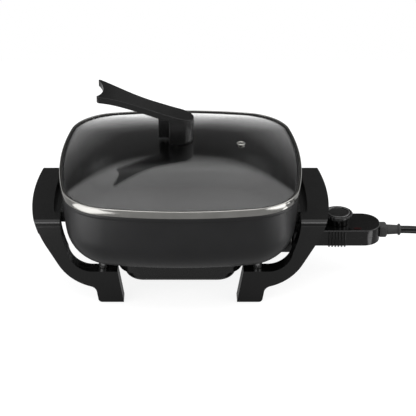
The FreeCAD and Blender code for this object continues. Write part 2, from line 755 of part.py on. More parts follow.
def make_front_plate():
    """The bright plate on the probe's face round the nose."""
    plate = box(148.8, 150.0, -24.5, 24.5, 55.0, 76.0)
    plate = plate.makeFillet(3.0, [e for e in plate.Edges if e.BoundBox.XLength > 1])
    return plate.cut(box(148.0, 151.0, -NOSE_HALF_Y, NOSE_HALF_Y, NOSE_Z[0], NOSE_Z[1]))


def make_sensor_rod():
    tip = WELL_BLIND_X + 6.0
    probe = rod(ROD_R, (tip, 0, PIN_Z), (176.0, 0, PIN_Z))
    return probe.makeFillet(2.2, [e for e in probe.Edges if e.BoundBox.XMax < tip + 0.01])


def make_sleeves():
    sleeves = []
    for y in (-PIN_OUT, PIN_OUT):
        sleeve = tube(3.6, PIN_R + RUNNING_GAP, (NOSE_TIP_X + 1.5, y, PIN_Z), (152.0, y, PIN_Z))
        tail = rod(3.6, (152.0, y, PIN_Z), (156.0, y, PIN_Z))
        sleeves.append(sleeve.fuse(tail).fuse(box(156.0, 166.0, y - 1.5, y + 1.5, PIN_Z - 0.4, PIN_Z + 0.4)))
    return Part.makeCompound(sleeves)


def make_switch():
    """The thermostat's contact stack on its bracket."""
    stack = box(184.0, 192.0, -10.0, 10.0, PROBE_Z[0] + PROBE_WALL, 64.0)
    for z in (58.5, 61.0):
        blade = box(186.0, 222.0, -3.0, 3.0, z, z + 0.5)
        stack = stack.fuse(blade)
    contact = rod(2.0, (219.0, 0, 59.0), (219.0, 0, 61.0))
    return stack.fuse(contact)


def make_bimetal():
    strip = box(176.0, 184.0, -4.0, 4.0, PIN_Z - 0.5, PIN_Z + 0.5)
    return strip


def make_spindle():
    z1 = PROBE_Z[1]
    spindle = rod(SPINDLE_R, (DIAL_X, 0, 64.0), (DIAL_X, 0, DIAL_TOP_Z - 4.5))
    return spindle.fuse(rod(4.6, (DIAL_X, 0, 65.0), (DIAL_X, 0, z1 - 7.0)))


def make_lamp():
    lamp = rod(2.6, (226.0, -19.5, 70.2), (238.0, -19.5, 70.2))
    return lamp.makeFillet(1.5, [e for e in lamp.Edges if e.BoundBox.XMax < 226.01])


def make_lens():
    return lens_shape(PROBE_Z[1] - 3.6, PROBE_Z[1] + 0.5)


def make_housing_screws():
    screws = []
    for x, y in housing_screw_places():
        z0 = PROBE_Z[0]
        head = rod(2.6, (x, y, z0 + 0.6), (x, y, z0 + 2.4))
        screws.append(rod(1.3, (x, y, z0 + 2.4), (x, y, 74.0)).fuse(head))
    return Part.makeCompound(screws)


def make_dial():
    """A fluted skirt under a wider finger rim with shallow teeth."""
    z0 = PROBE_Z[1] + 0.35
    rim_z = DIAL_TOP_Z - 5.0
    skirt = rod(SKIRT_R, (DIAL_X, 0, z0), (DIAL_X, 0, rim_z))
    rim = rod(DIAL_R, (DIAL_X, 0, rim_z), (DIAL_X, 0, DIAL_TOP_Z))
    rim = rim.makeChamfer(1.0, [e for e in rim.Edges if e.BoundBox.ZLength < 0.01])
    for i in range(DIAL_TEETH):
        a = 2 * math.pi * i / DIAL_TEETH
        x, y = DIAL_X + (DIAL_R + 1.1) * math.cos(a), (DIAL_R + 1.1) * math.sin(a)
        rim = rim.cut(rod(1.9, (x, y, rim_z - 1), (x, y, DIAL_TOP_Z + 1)))
    for i in range(SKIRT_FLUTES):
        a = 2 * math.pi * (i + 0.5) / SKIRT_FLUTES
        x, y = DIAL_X + (SKIRT_R + 1.2) * math.cos(a), (SKIRT_R + 1.2) * math.sin(a)
        skirt = skirt.cut(rod(2.8, (x, y, z0 - 1), (x, y, rim_z)))
    dial = skirt.fuse(rim)
    dial = dial.cut(rod(15.4, (DIAL_X, 0, DIAL_TOP_Z - 1.2), (DIAL_X, 0, DIAL_TOP_Z + 1)))
    return dial.cut(rod(SPINDLE_R, (DIAL_X, 0, z0 - 1), (DIAL_X, 0, DIAL_TOP_Z - 4.5)))


def make_dial_cap():
    z = DIAL_TOP_Z - 1.2
    cap = rod(15.0, (DIAL_X, 0, z), (DIAL_X, 0, z + 1.0))
    ring = tube(15.0, 14.0, (DIAL_X, 0, z), (DIAL_X, 0, z + 1.5))
    return cap.fuse(ring)


def make_cord_clamp():
    block = box(248.5, 256.0, -9.0, 9.0, PROBE_Z[0] + PROBE_WALL, PROBE_Z[1] - PROBE_WALL)
    return block.cut(rod(5.0, (247.0, 0, CORD_Z), (257.0, 0, CORD_Z)))


def make_strain_relief():
    """A square collar, a short taper and a bead where the cord comes out."""
    x0 = PROBE_X[1]
    collar = box(x0, x0 + 10.0, -8.4, 8.4, CORD_Z - 8.0, CORD_Z + 8.0)
    collar = collar.makeChamfer(2.2, [e for e in collar.Edges if e.BoundBox.XMin > x0 + 9.9])
    collar = collar.makeFillet(1.6, [e for e in collar.Edges if e.BoundBox.XLength > 7.0])
    taper = Part.makeCone(7.0, 5.9, RELIEF_END_X - x0 - 10.0, V(x0 + 10.0, 0, CORD_Z), V(1, 0, 0))
    bead = Part.makeTorus(6.3, 1.7, V(RELIEF_END_X - 2.2, 0, CORD_Z), V(1, 0, 0))
    bead = bead.common(box(280, RELIEF_END_X, -10, 10, 40, 90))
    inside = rod(5.0, (x0 - 13.6, 0, CORD_Z), (x0 + 1.0, 0, CORD_Z))
    return collar.fuse(taper).fuse(bead).fuse(inside)


def cord_route():
    """The free cord's corners: straight out, down in an easy slope, and onto the table."""
    sloped = sum(run * math.sin(math.radians(-d)) for run, d in CORD_RUNS)
    stretch = (CORD_Z - CORD_D / 2) / sloped
    at = V(RELIEF_END_X, 0, CORD_Z)
    points = [at]
    for run, d in CORD_RUNS:
        a = math.radians(d)
        at = at + V(math.cos(a), 0, math.sin(a)) * run * stretch
        points.append(at)
    return points


def rounded_path(points):
    """Straight runs joined by tangent arcs as large as the runs allow."""
    edges = []
    start = points[0]
    for before, here, after in zip(points, points[1:], points[2:]):
        u = (before - here)
        w = (after - here)
        reach = 0.45 * min(u.Length, w.Length)
        u.normalize()
        w.normalize()
        turn = math.pi - u.getAngle(w)
        radius = reach / math.tan(turn / 2)
        print("cord turn %.1f deg, radius %.1f mm" % (math.degrees(turn), radius))
        a = here + u * reach
        b = here + w * reach
        middle = u + w
        middle.normalize()
        bulge = radius / math.cos(turn / 2) - radius
        edges.append(Part.LineSegment(start, a).toShape())
        edges.append(Part.Arc(a, here + middle * bulge, b).toShape())
        start = b
    edges.append(Part.LineSegment(start, points[-1]).toShape())
    return Part.Wire(edges)


def sweep_round(wire, start, direction):
    ring = Part.Wire(Part.makeCircle(CORD_D / 2, start, direction))
    return wire.makePipeShell([ring], True, False)


def coil_state(turn, centre):
    """Place and heading after so many turns: in on the table, up, and out on top."""
    low, climb = COIL_LOWER_TURNS, COIL_CLIMB_TURNS
    inner = COIL_START_R - COIL_PITCH * low
    if turn <= low:
        r, slope, lift, rise = COIL_START_R - COIL_PITCH * turn, -COIL_PITCH, 0.0, 0.0
    elif turn < low + climb:
        f = (turn - low) / climb
        r, slope = inner, 0.0
        lift = COIL_LIFT * (1 - math.cos(math.pi * f)) / 2
        rise = COIL_LIFT * math.pi / 2 * math.sin(math.pi * f) / climb
    else:
        r, slope, lift, rise = inner + COIL_PITCH * (turn - low - climb), COIL_PITCH, COIL_LIFT, 0.0
    if turn in (0.0, low, low + climb, CORD_TURNS):
        slope = 0.0
    a = 2 * math.pi * turn
    place = centre + V(r * math.sin(a), r * math.cos(a), lift)
    around = 2 * math.pi * r
    heading = V(around * math.cos(a) + slope * math.sin(a),
                slope * math.cos(a) - around * math.sin(a), rise)
    heading.normalize()
    return place, heading


def biarc(p, t, q, s):
    """Two arcs from p heading t to q heading s, meeting with one tangent."""
    v = q - p
    both = t + s
    a = 2.0 * (1.0 - t.dot(s))
    b = 2.0 * v.dot(both)
    c = -v.dot(v)
    d = -c / b if abs(a) < 1e-9 else (-b + math.sqrt(b * b - 4 * a * c)) / (2 * a)
    first = p + t * d
    second = q - s * d
    join = (first + second) * 0.5
    return [arc_from(p, first, join), arc_from(join, second, q)]


def arc_from(a, corner, b):
    """The arc from a to b whose end tangents meet at corner."""
    middle = (a + b) * 0.5
    to = corner - middle
    half = (b - a).Length / 2
    if to.Length < 1e-6 * half:
        return Part.LineSegment(a, b).toShape()
    angle = math.atan2(to.Length, half)
    bulge = half * math.tan(angle / 2)
    to.normalize()
    return Part.Arc(a, middle + to * bulge, b).toShape()


def coil_centre():
    end = cord_route()[-1]
    return V(end.x + CORD_D, end.y - COIL_START_R, CORD_D / 2)


def make_coil():
    centre = coil_centre()
    steps = int(CORD_TURNS * 4)
    states = [coil_state(i / 4.0, centre) for i in range(steps + 1)]
    start = cord_route()[-1]
    edges = [Part.LineSegment(start, states[0][0]).toShape()]
    for (p, t), (q, s) in zip(states, states[1:]):
        edges += biarc(p, t, q, s)
    last, heading = states[-1]
    edges.append(Part.LineSegment(last, last + heading * CORD_D).toShape())
    wire = Part.Wire(edges)
    report_coil(wire, centre)
    return sweep_round(wire, start, V(1, 0, 0))


def report_coil(wire, centre):
    """Prints the coil's length and the least gap between its turns."""
    count = 260
    points = []
    for edge in wire.Edges:
        n = max(2, int(count * edge.Length / wire.Length))
        points += edge.discretize(n)[:-1]
    least = 1e9
    travelled = [0.0]
    for a, b in zip(points, points[1:]):
        travelled.append(travelled[-1] + (b - a).Length)
    for i, a in enumerate(points):
        for j in range(i + 1, len(points)):
            if travelled[j] - travelled[i] > 6 * CORD_D:
                least = min(least, (points[j] - a).Length)
    print("coil length %.1f mm, least gap to itself %.2f mm" % (wire.Length, least - CORD_D))


def plug_start():
    last, heading = coil_state(CORD_TURNS, coil_centre())
    return last + heading * CORD_D


def make_plug():
    """A moulded two-pin plug lying on the table, its taper towards the cord."""
    at = plug_start()
    taper = Part.makeCone(6.0, 8.0, 26.0, at, V(0, -1, 0))
    body = Part.makeCylinder(at.z, 34.0, V(at.x, at.y - 26.0, at.z), V(0, -1, 0))
    body = body.makeFillet(3.5, [e for e in body.Edges if e.BoundBox.YLength < 0.01])
    flat = box(at.x - 20, at.x + 20, at.y - 61, at.y - 25, at.z - 20, at.z + 20)
    body = body.common(flat)
    plug = taper.fuse(body)
    for dx in (-9.5, 9.5):
        plug = plug.cut(rod(2.0, (at.x + dx, at.y - 46.0, at.z), (at.x + dx, at.y - 62.0, at.z)))
    return plug


def make_plug_pins():
    at = plug_start()
    pins = []
    for dx in (-9.5, 9.5):
        pin = rod(2.0, (at.x + dx, at.y - 46.0, at.z), (at.x + dx, at.y - 79.0, at.z))
        pins.append(pin.makeFillet(1.4, [e for e in pin.Edges if e.BoundBox.YMax < at.y - 78.9]))
    return Part.makeCompound(pins)


def build_base():
    pan = make_pan()
    add("pan", pan)
    add("heat_plate", make_heat_plate())
    add("heating_element", make_element())
    add("heater_cover", make_cover())
    add("cover_screws", make_cover_screws())
    add("terminal_block", make_terminal_block())
    add("terminal_pins", make_terminal_pins())
    add("sensor_well", make_sensor_well())
    add("socket_shroud", make_shroud())
    add("handle_spacers", make_spacers())
    add("handle_screws", make_handle_screws())


def build_handles():
    feet = make_feet()
    right = drill_for_screws(make_handle())
    left = mirror_x(right)
    add("right_handle", place_feet(right, feet[2:]))
    add("left_handle", place_feet(left, feet[:2]))
    add("rubber_feet", Part.makeCompound(feet))
    bracket = make_bracket()
    add("right_bracket", bracket)
    add("left_bracket", mirror_x(bracket))
    add("right_bracket_screws", make_bracket_screws(1))
    add("left_bracket_screws", make_bracket_screws(-1))


def build_lid():
    glass = make_glass()
    add("lid_glass", glass)
    add("lid_rim", make_lid_rim())
    add("lid_gasket", make_gasket())
    add("vent_eyelet", make_vent().cut(glass))
    add("lid_handle", make_lid_handle())
    add("handle_seat", make_handle_seat(glass))
    add("inner_washer", make_inner_washer())
    add("lid_screw", make_lid_screw())


def build_probe():
    add("probe_lower_housing", make_lower_housing())
    add("probe_upper_housing", make_upper_housing())
    add("probe_nose", make_nose())
    add("probe_front_plate", make_front_plate())
    add("sensor_rod", make_sensor_rod())
    add("contact_sleeves", make_sleeves())
    add("thermostat_switch", make_switch())
    add("bimetal_blade", make_bimetal())
    add("indicator_lamp", make_lamp())
    add("lamp_lens", make_lens())
    add("housing_screws", make_housing_screws())
    add("cord_clamp", make_cord_clamp())
    add("adjusting_spindle", make_spindle())
    add("dial", make_dial())
    add("dial_cap", make_dial_cap())


def build_cord():
    add("strain_relief", make_strain_relief())
    route = cord_route()
    path = rounded_path(route)
    cord = sweep_round(path, route[0], V(1, 0, 0))
    area = math.pi * CORD_D ** 2 / 4
    print("free cord %.1f mm, volume over section %.1f mm" % (path.Length, cord.Volume / area))
    add("cord", cord)
    add("cord_coil", make_coil())
    add("plug_body", make_plug())
    add("plug_pins", make_plug_pins())


def main():
    build_base()
    build_handles()
    build_lid()
    build_probe()
    build_cord()
    os.makedirs("parts", exist_ok=True)
    for name, shape in parts.items():
        if not shape.isValid():
            print("not valid:", name)
        shape.exportStep("parts/%s.step" % name)


main()
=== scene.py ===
import json
import math

import bmesh
import bpy
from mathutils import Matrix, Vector


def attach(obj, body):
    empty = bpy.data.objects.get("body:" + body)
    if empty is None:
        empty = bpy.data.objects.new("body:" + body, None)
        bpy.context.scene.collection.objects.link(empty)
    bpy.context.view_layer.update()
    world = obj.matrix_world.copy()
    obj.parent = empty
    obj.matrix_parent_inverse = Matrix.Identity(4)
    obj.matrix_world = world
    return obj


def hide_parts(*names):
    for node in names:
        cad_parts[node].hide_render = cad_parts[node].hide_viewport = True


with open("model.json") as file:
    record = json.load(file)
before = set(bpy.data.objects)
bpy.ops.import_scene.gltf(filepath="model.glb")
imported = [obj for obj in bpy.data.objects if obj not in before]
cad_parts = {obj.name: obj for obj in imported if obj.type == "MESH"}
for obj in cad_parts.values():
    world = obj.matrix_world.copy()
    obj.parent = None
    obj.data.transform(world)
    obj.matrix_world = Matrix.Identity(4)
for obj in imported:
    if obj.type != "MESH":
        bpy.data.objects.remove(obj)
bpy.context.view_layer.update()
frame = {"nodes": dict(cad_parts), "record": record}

# Driving sizes in metres. The pan's middle is at PAN_X, the feet stand on Z = 0
# and the front is towards -Y. Profiles and radii without MM are in millimetres.
MM = 0.001
GRIP_REACH = 198 * MM
PROBE_END = 271.2 * MM
PAN_X = (GRIP_REACH - PROBE_END) / 2
LID_TOP = 174 * MM

# Plan of the pan and lid: a square of eight arcs with parallel offsets
LID_HALF = 160.0
LID_CORNER_R = 70.0
LID_SIDE_R = 542.0
SIDE_STEPS = 14
CORNER_STEPS = 14

# Pan profile
PAN_TOP_Z = 164.0
PAN_BOTTOM_Z = 72.0
PAN_WALL = 4.0
PAN_EDGE_R = 50.0
PAN_INSET = 3.0
PAN_DRAFT = math.radians(1.5)
LIP_INSET = 1.4
LIP_DROP = 6.0
EDGE_STEPS = 14

# Lid profile: band, glass, seat of its handle and steam vent
BAND_WALL = 1.2
BAND_LIP = 3.0
BAND_SHOULDER_R = 1.3
BAND_FOLD_R = 0.45
BAND_FOOT_R = 0.6
SEAL_GAP = 0.04
GLASS_EDGE = 2.5
GLASS_THICK = 4.0
CROWN_EDGE = 4.7
CROWN_EDGE_Z = 172.3
CROWN_RISE = 28.7
CROWN_POWER = 2.2
CROWN_TOP_SHARE = 0.12
CROWN_TOP_CORNER = 0.9
CROWN_TOP_SIDE = 1.3
GLASS_HOLE_R = 4.1
PAD_R = 17.75
PAD_FLAT_X = -15.4
PAD_HOLE_R = 2.4
VENT_PLACE = (80.0, -2.0)

# Heater cover and guard, where the real ones are fuller than the solids
FLANGE_Z = 50.0
COVER_DROP = 5.2
SHROUD_TOP_Z = 71.0
SHROUD_SLOPE = 0.28
SHROUD_DROP = 1.3
SHROUD_MOUTH_X = 140.0

# Small radii on the solids' sharp edges
MERGE_WITHIN = 2e-6
FLAT_WITHIN = math.radians(0.8)
SHARP_FROM = math.radians(35.0)
BEVEL_SEGMENTS = 3
MOULDING_RADII = {"right_handle": 1.0, "left_handle": 1.0, "probe_nose": 0.5, "right_bracket": 0.5,
                  "left_bracket": 0.5, "terminal_block": 0.5, "cord_clamp": 0.4, "rubber_feet": 0.4}
SMOOTH_RADII = {"lid_handle": 1.8, "probe_lower_housing": 0.4, "probe_upper_housing": 0.7}

# Probe's finger ribs: how far up each housing they run, and their section
RIB_SPANS = (("probe_lower_housing", 53.2, 65.8), ("probe_upper_housing", 66.2, 75.6))
RIB_ROOT_Y = 26.4
RIB_SUNK = 0.8
RIB_ANGLES = (-20, 10, 35, 65, 90, 115, 145, 170, 200)
RIB_COUNT = 6
RIB_FIRST_X = 200.8
RIB_PITCH = 4.24
RIB_WIDTH = 2.3
RIB_PROUD = 2.4

# Dial
DIAL_X = 213.9
DIAL_R = 20.0
DIAL_BASE_Z = 77.35
DIAL_RIM_Z = 87.0
DIAL_TOP_Z = 92.0
DIAL_TEETH = 24
TEETH_SUNK = 0.95
SKIRT_FLUTES = 12
SKIRT_WAVE = 1.7

# The camera was fitted to the lid's rim in the photo, whose frame is 416 wide. Distances
# are in metres, and MIRROR_PX is the column of the lid's middle plane.
PHOTO_WIDTH = 416.0
FOCAL_PX = 1433.0
MIRROR_PX = 180.49
CAMERA_TILT = math.radians(27.0)
CAMERA_DISTANCE = 1.907
CAMERA_RISE = 67.5 * MM
SENSOR_MM = 36.0

# Mains cord, the same route as its solid
CORD_D = 10.5 * MM
CORD_Z = 65.5 * MM
RELIEF_END = Vector((300.2 * MM + PAN_X, 0.0, CORD_Z))
CORD_RUNS_MM = ((34.0, 0.0), (34.0, -17.0), (25.0, -38.0), (24.0, -55.0),
                (24.0, -36.0), (28.0, -15.0), (24.0, 0.0))
COIL_TURNS = 3.25
COIL_PITCH = 13.0 * MM
COIL_LIFT = 11.3 * MM
COIL_START_R = 60 * MM
COIL_LOWER_TURNS = 1.25
COIL_CLIMB_TURNS = 0.5
COIL_STEPS = 24

# Studio, in metres. Brightness 1 is the background's white, and BRIGHTEST is the sky's limit
FLOOR_HALF = 0.8
BRIGHTEST = 2.0

# The paper's own grey, and the glow that lifts it to white for the camera and to pale
# grey in reflections
FLOOR_WHITE = 0.22
CAMERA_GLOW = 0.86
MIRRORED_GLOW = 0.2

# Levels of the sky: each pair is a height and its brightness. The horizon's bands rise
# towards the sides and the ceiling's come down there.
HORIZON_SPREAD = 0.2
HORIZON_RANGE = (-0.4, 1.0)
HORIZON_LEVELS = ((-0.2, 1.15), (-0.1, 1.15), (0.0, 0.82), (0.11, 0.55),
                  (0.2, 0.26), (0.29, 0.1), (0.5, 0.06))
CEILING_SPREAD = 0.38
CEILING_RANGE = (0.0, 1.2)
CEILING_LEVELS = ((0.58, 0.0), (0.67, 0.7), (0.81, 0.9), (0.87, 1.1), (0.93, 1.4), (1.0, 1.4))

# Sheets of light just above the floor: name, place from the pan's middle, size, radiance, turn
REFLECTOR_Z = 0.004
REFLECTORS = (("left_reflector", (-0.428, -0.328), (0.315, 0.447), 2.8, 32.0),
              ("right_reflector", (0.512, -0.26), (0.22, 0.46), 3.4, -4.0),
              ("probe_reflector", (0.352, -0.1), (0.07, 0.06), 3.2, 0.0))

# Softboxes: name, place from the pan's middle, height they aim at, size, radiance
SOFTBOXES = (("front_softbox", (0.0, -0.75, 1.5), 0.1, (1.4, 0.3), 6.0),
             ("left_strip", (-0.95, -0.85, 0.48), 0.2, (1.4, 0.42), 5.0),
             ("right_strip", (1.25, -0.35, 0.56), 0.2, (1.5, 0.42), 3.0))


def linear(hex_colour):
    """An sRGB hex colour as the linear RGBA that shaders take."""
    parts = [int(hex_colour[i:i + 2], 16) / 255 for i in (1, 3, 5)]
    return tuple(c / 12.92 if c <= 0.04045 else ((c + 0.055) / 1.055) ** 2.4 for c in parts) + (1.0,)


def node(tree, kind, settings=(), **inputs):
    """Adds a node; an input given as a socket is linked, anything else is its value."""
    made = tree.nodes.new(kind)
    for name, value in dict(settings).items():
        setattr(made, name, value)
    for name, value in inputs.items():
        key = int(name[1:]) if name[0] == "_" else name.replace("_", " ")
        if isinstance(value, bpy.types.NodeSocket):
            tree.links.new(value, made.inputs[key])
        else:
            made.inputs[key].default_value = value
    return made


def surface(name, colour, metallic=0.0, roughness=0.5, **sockets):
    """A material with its shader; sockets are set on the shader itself."""
    material = bpy.data.materials.new(name)
    material.use_nodes = True
    shader = material.node_tree.nodes["Principled BSDF"]
    shader.inputs["Base Color"].default_value = linear(colour)
    shader.inputs["Metallic"].default_value = metallic
    shader.inputs["Roughness"].default_value = roughness
    for socket, value in sockets.items():
        shader.inputs[socket.replace("_", " ")].default_value = value
    return material, material.node_tree, shader


def layer(tree, shader, size_mm, stretch=(1.0, 1.0, 1.0), detail=3.0,
          colours=None, rough=None, depth_mm=None):
    """One scale of surface detail: a pattern about size_mm across that drifts the colour
    between two hex colours, the roughness between two values, and stands depth_mm proud."""
    coords = node(tree, "ShaderNodeTexCoord").outputs["Object"]
    place = node(tree, "ShaderNodeMapping", Vector=coords, Scale=stretch).outputs[0]
    scale = 1.0 / (size_mm * MM)
    pattern = node(tree, "ShaderNodeTexNoise", Vector=place, Scale=scale, Detail=detail).outputs[0]
    share = node(tree, "ShaderNodeMapRange", _0=pattern, _1=0.3, _2=0.7).outputs[0]
    if colours:
        mixed = node(tree, "ShaderNodeMix", {"data_type": "RGBA"}, Factor=share)
        mixed.inputs[6].default_value, mixed.inputs[7].default_value = map(linear, colours)
        tree.links.new(mixed.outputs[2], shader.inputs["Base Color"])
    if rough:
        ranged = node(tree, "ShaderNodeMapRange", _0=share, _3=rough[0], _4=rough[1])
        tree.links.new(ranged.outputs[0], shader.inputs["Roughness"])
    if depth_mm:
        relief = node(tree, "ShaderNodeBump", Height=pattern, Distance=depth_mm * MM)
        if shader.inputs["Normal"].links:
            tree.links.new(shader.inputs["Normal"].links[0].from_socket, relief.inputs["Normal"])
        tree.links.new(relief.outputs[0], shader.inputs["Normal"])


def sprayed_nonstick():
    # Non-stick coating sprayed on die-cast aluminium: satin, with a soft orange peel
    material, tree, shader = surface("sprayed_nonstick_coating", "#101011", IOR=1.38)
    layer(tree, shader, 40.0, colours=("#0e0e0f", "#131314"))
    layer(tree, shader, 2.2, detail=2.0, depth_mm=0.015)
    layer(tree, shader, 0.35, rough=(0.34, 0.42), depth_mm=0.004)
    return material


def moulded_thermoset(name="moulded_black_thermoset", rough=(0.2, 0.26), depth_mm=0.006):
    # Heat-proof black moulding from a finely sparked tool: matt and even
    material, tree, shader = surface(name, "#0a0a0a", IOR=1.42)
    layer(tree, shader, 25.0, colours=("#080808", "#0c0c0c"))
    layer(tree, shader, 0.5, detail=4.0, rough=rough, depth_mm=depth_mm)
    return material


def smooth_polymer(name="polished_black_polymer", **sockets):
    # Injection-moulded polymer from a polished tool: nearly black and shiny
    material, tree, shader = surface(name, "#0a0a0a", **sockets)
    layer(tree, shader, 9.0, detail=1.0, depth_mm=0.01)
    layer(tree, shader, 6.0, rough=(0.12, 0.18), colours=("#080808", "#0c0c0c"))
    return material


def polished_stainless():
    # Rolled stainless strip, polished along its length: bright with fine drawn lines
    material, tree, shader = surface("polished_stainless_strip", "#908f8c", 1.0)
    layer(tree, shader, 18.0, colours=("#8a8986", "#959491"))
    layer(tree, shader, 0.25, stretch=(0.06, 0.06, 1.0), detail=2.0, rough=(0.1, 0.17), depth_mm=0.002)
    return material


def turned_steel():
    # Zinc-plated and turned steel: duller, a little mottled
    material, tree, shader = surface("zinc_plated_steel", "#9b9a96", 1.0)
    layer(tree, shader, 1.5, colours=("#8f8e8b", "#a5a4a0"), rough=(0.28, 0.42))
    return material


def heat_browned_steel():
    # A heating element's sheath: oxidised brown and blue by use
    material, tree, shader = surface("heat_browned_sheath", "#4a4038", 1.0)
    layer(tree, shader, 20.0, colours=("#3c3430", "#5e5044"))
    layer(tree, shader, 1.0, rough=(0.38, 0.52))
    return material


def cast_aluminium():
    # Pressed and as-cast aluminium: pale and grainy
    material, tree, shader = surface("as_cast_aluminium", "#b4b5b7", 1.0)
    layer(tree, shader, 0.8, colours=("#a9aaad", "#bdbec0"), rough=(0.38, 0.5), depth_mm=0.02)
    return material


def enamelled_steel():
    # Black stoved enamel on pressed steel: semi-matt with a faint wave
    material, tree, shader = surface("stoved_black_enamel", "#0c0c0c")
    layer(tree, shader, 5.0, detail=1.0, depth_mm=0.004)
    layer(tree, shader, 3.0, rough=(0.22, 0.3), colours=("#090909", "#0d0d0d"))
    return material


def unglazed_ceramic():
    # Fired steatite: chalky off-white
    material, tree, shader = surface("unglazed_steatite", "#d8d2c4", roughness=0.7)
    layer(tree, shader, 0.6, colours=("#d0c9ba", "#dfd9cc"), depth_mm=0.02)
    return material


def pressed_brass():
    # Pressed brass: yellow, slightly dulled
    material, tree, shader = surface("pressed_brass", "#c7a660", 1.0)
    layer(tree, shader, 4.0, colours=("#b8954e", "#d0b16c"))
    layer(tree, shader, 0.7, rough=(0.24, 0.36))
    return material


def silicone_rubber():
    # Moulded silicone: black with a soft sheen
    material, tree, shader = surface("moulded_black_silicone", "#070707", IOR=1.33)
    layer(tree, shader, 0.6, rough=(0.2, 0.28), depth_mm=0.005, colours=("#070707", "#0a0a0a"))
    return material


def extruded_jacket():
    # Extruded cord jacket: smooth black rubber with a long soft highlight
    material, tree, shader = surface("extruded_rubber_jacket", "#070707", IOR=1.33)
    layer(tree, shader, 0.8, stretch=(0.2, 1.0, 1.0), rough=(0.15, 0.2), depth_mm=0.004,
          colours=("#060606", "#090909"))
    return material


def toughened_glass():
    # Pressed and toughened clear glass: a faint wave from the mould
    material, tree, shader = surface("toughened_pressed_glass", "#f4f4f4", roughness=0.0,
                                     Transmission_Weight=1.0, IOR=1.5)
    layer(tree, shader, 60.0, detail=0.0, depth_mm=0.05)
    return material


def red_lens():
    # Clear red moulding over the lamp, dark while it is off
    material, tree, shader = surface("clear_red_moulding", "#2a0303", Transmission_Weight=0.4)
    layer(tree, shader, 1.0, rough=(0.08, 0.16))
    return material


def oxidised_steel():
    # Turned steel spacers, greyed by an oxide coat that keeps the metal's sheen
    material, tree, shader = surface("oxidised_turned_steel", "#9a9a9a", 1.0)
    layer(tree, shader, 1.2, rough=(0.25, 0.35), colours=("#909090", "#a4a4a4"))
    return material


FINISHES = {
    "coated_pan": sprayed_nonstick(),
    "aluminium": cast_aluminium(),
    "black_sheet": enamelled_steel(),
    "element_sheath": heat_browned_steel(),
    "stainless": polished_stainless(),
    "zinc_steel": turned_steel(),
    "ceramic": unglazed_ceramic(),
    "phenolic": moulded_thermoset(),
    "gloss_black": smooth_polymer(),
    "glass": toughened_glass(),
    "silicone": silicone_rubber(),
    "brass": pressed_brass(),
    "lens_red": red_lens(),
    "cord_jacket": extruded_jacket(),
}

# The same moulding from a smoother tool: the lid's handle and the probe shine more
SMOOTH_THERMOSET = moulded_thermoset("smooth_black_thermoset", (0.12, 0.17), 0.002)

# The dial's cap has a lacquer over it, so its bead catches more light
LACQUERED_CAP = smooth_polymer("lacquered_black_polymer", Coat_Weight=1.0, Coat_Roughness=0.08)

OXIDISED_STEEL = oxidised_steel()

SLOT_OF = {part["node"]: part["material_slot"] for part in frame["record"]["subparts"]}
BODY_OF = {node_name: body for body, members in frame["record"]["behaviour"]["bodies"].items()
           for node_name in members}


def dress_frame():
    """Every solid takes the finish of its slot in the record."""
    for node_name, slot_name in SLOT_OF.items():
        shown = frame["nodes"][node_name]
        shown.data.materials.clear()
        shown.data.materials.append(FINISHES[slot_name])


def show_mesh(name, mesh, node_name, smooth_angle, finish=None):
    """A finished mesh stands for a solid: same body, same slot. Edges sharper than
    smooth_angle degrees stay sharp."""
    if finish is not None or not mesh.materials:
        mesh.materials.clear()
        mesh.materials.append(finish or FINISHES[SLOT_OF[node_name]])
    for face in mesh.polygons:
        face.use_smooth = True
    mesh.set_sharp_from_angle(angle=math.radians(smooth_angle))
    piece = bpy.data.objects.new(name, mesh)
    bpy.context.collection.objects.link(piece)
    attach(piece, BODY_OF[node_name])
    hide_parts(node_name)
    return piece


def evaluated_mesh(worker):
    """The plain mesh that a working object's modifiers give; the worker goes away."""
    graph = bpy.context.evaluated_depsgraph_get()
    mesh = bpy.data.meshes.new_from_object(worker.evaluated_get(graph), depsgraph=graph)
    bpy.data.objects.remove(worker)
    return mesh


def worker_object(mesh):
    """An object that only carries modifiers or a tool, and isn't kept."""
    worker = bpy.data.objects.new("worker", mesh)
    bpy.context.collection.objects.link(worker)
    return worker


def soften(node_name, radius_mm, finish=None, move=None):
    """A copy of a solid whose sharp edges get the small radius of the real piece. move
    shifts one point of the copy, where the real piece is fuller than the solid."""
    mesh = frame["nodes"][node_name].data.copy()
    shape = bmesh.new()
    shape.from_mesh(mesh)
    bmesh.ops.remove_doubles(shape, verts=shape.verts, dist=MERGE_WITHIN)
    bmesh.ops.dissolve_limit(shape, angle_limit=FLAT_WITHIN, verts=shape.verts, edges=shape.edges)
    if move is not None:
        for point in shape.verts:
            move(point.co)
    shape.to_mesh(mesh)
    shape.free()
    worker = worker_object(mesh)
    edge = worker.modifiers.new("edge", "BEVEL")
    edge.width = radius_mm * MM
    edge.segments = BEVEL_SEGMENTS
    edge.limit_method = "ANGLE"
    edge.angle_limit = SHARP_FROM
    weighted = worker.modifiers.new("even", "WEIGHTED_NORMAL")
    weighted.keep_sharp = True
    for face in mesh.polygons:
        face.use_smooth = True
    return show_mesh(node_name + "_moulding", evaluated_mesh(worker), node_name, 50.0, finish)


def deepen_cover(point):
    """The pressed cover's flange and bowl hang lower than the solid's."""
    if point.z < FLANGE_Z * MM:
        point.z -= COVER_DROP * MM


def slope_shroud(point):
    """The guard's mouth slopes, so its floor reaches out under the probe."""
    if point.x > SHROUD_MOUTH_X * MM + PAN_X:
        point.x += (SHROUD_TOP_Z * MM - point.z) * SHROUD_SLOPE
    if point.z < FLANGE_Z * MM:
        point.z -= SHROUD_DROP * MM


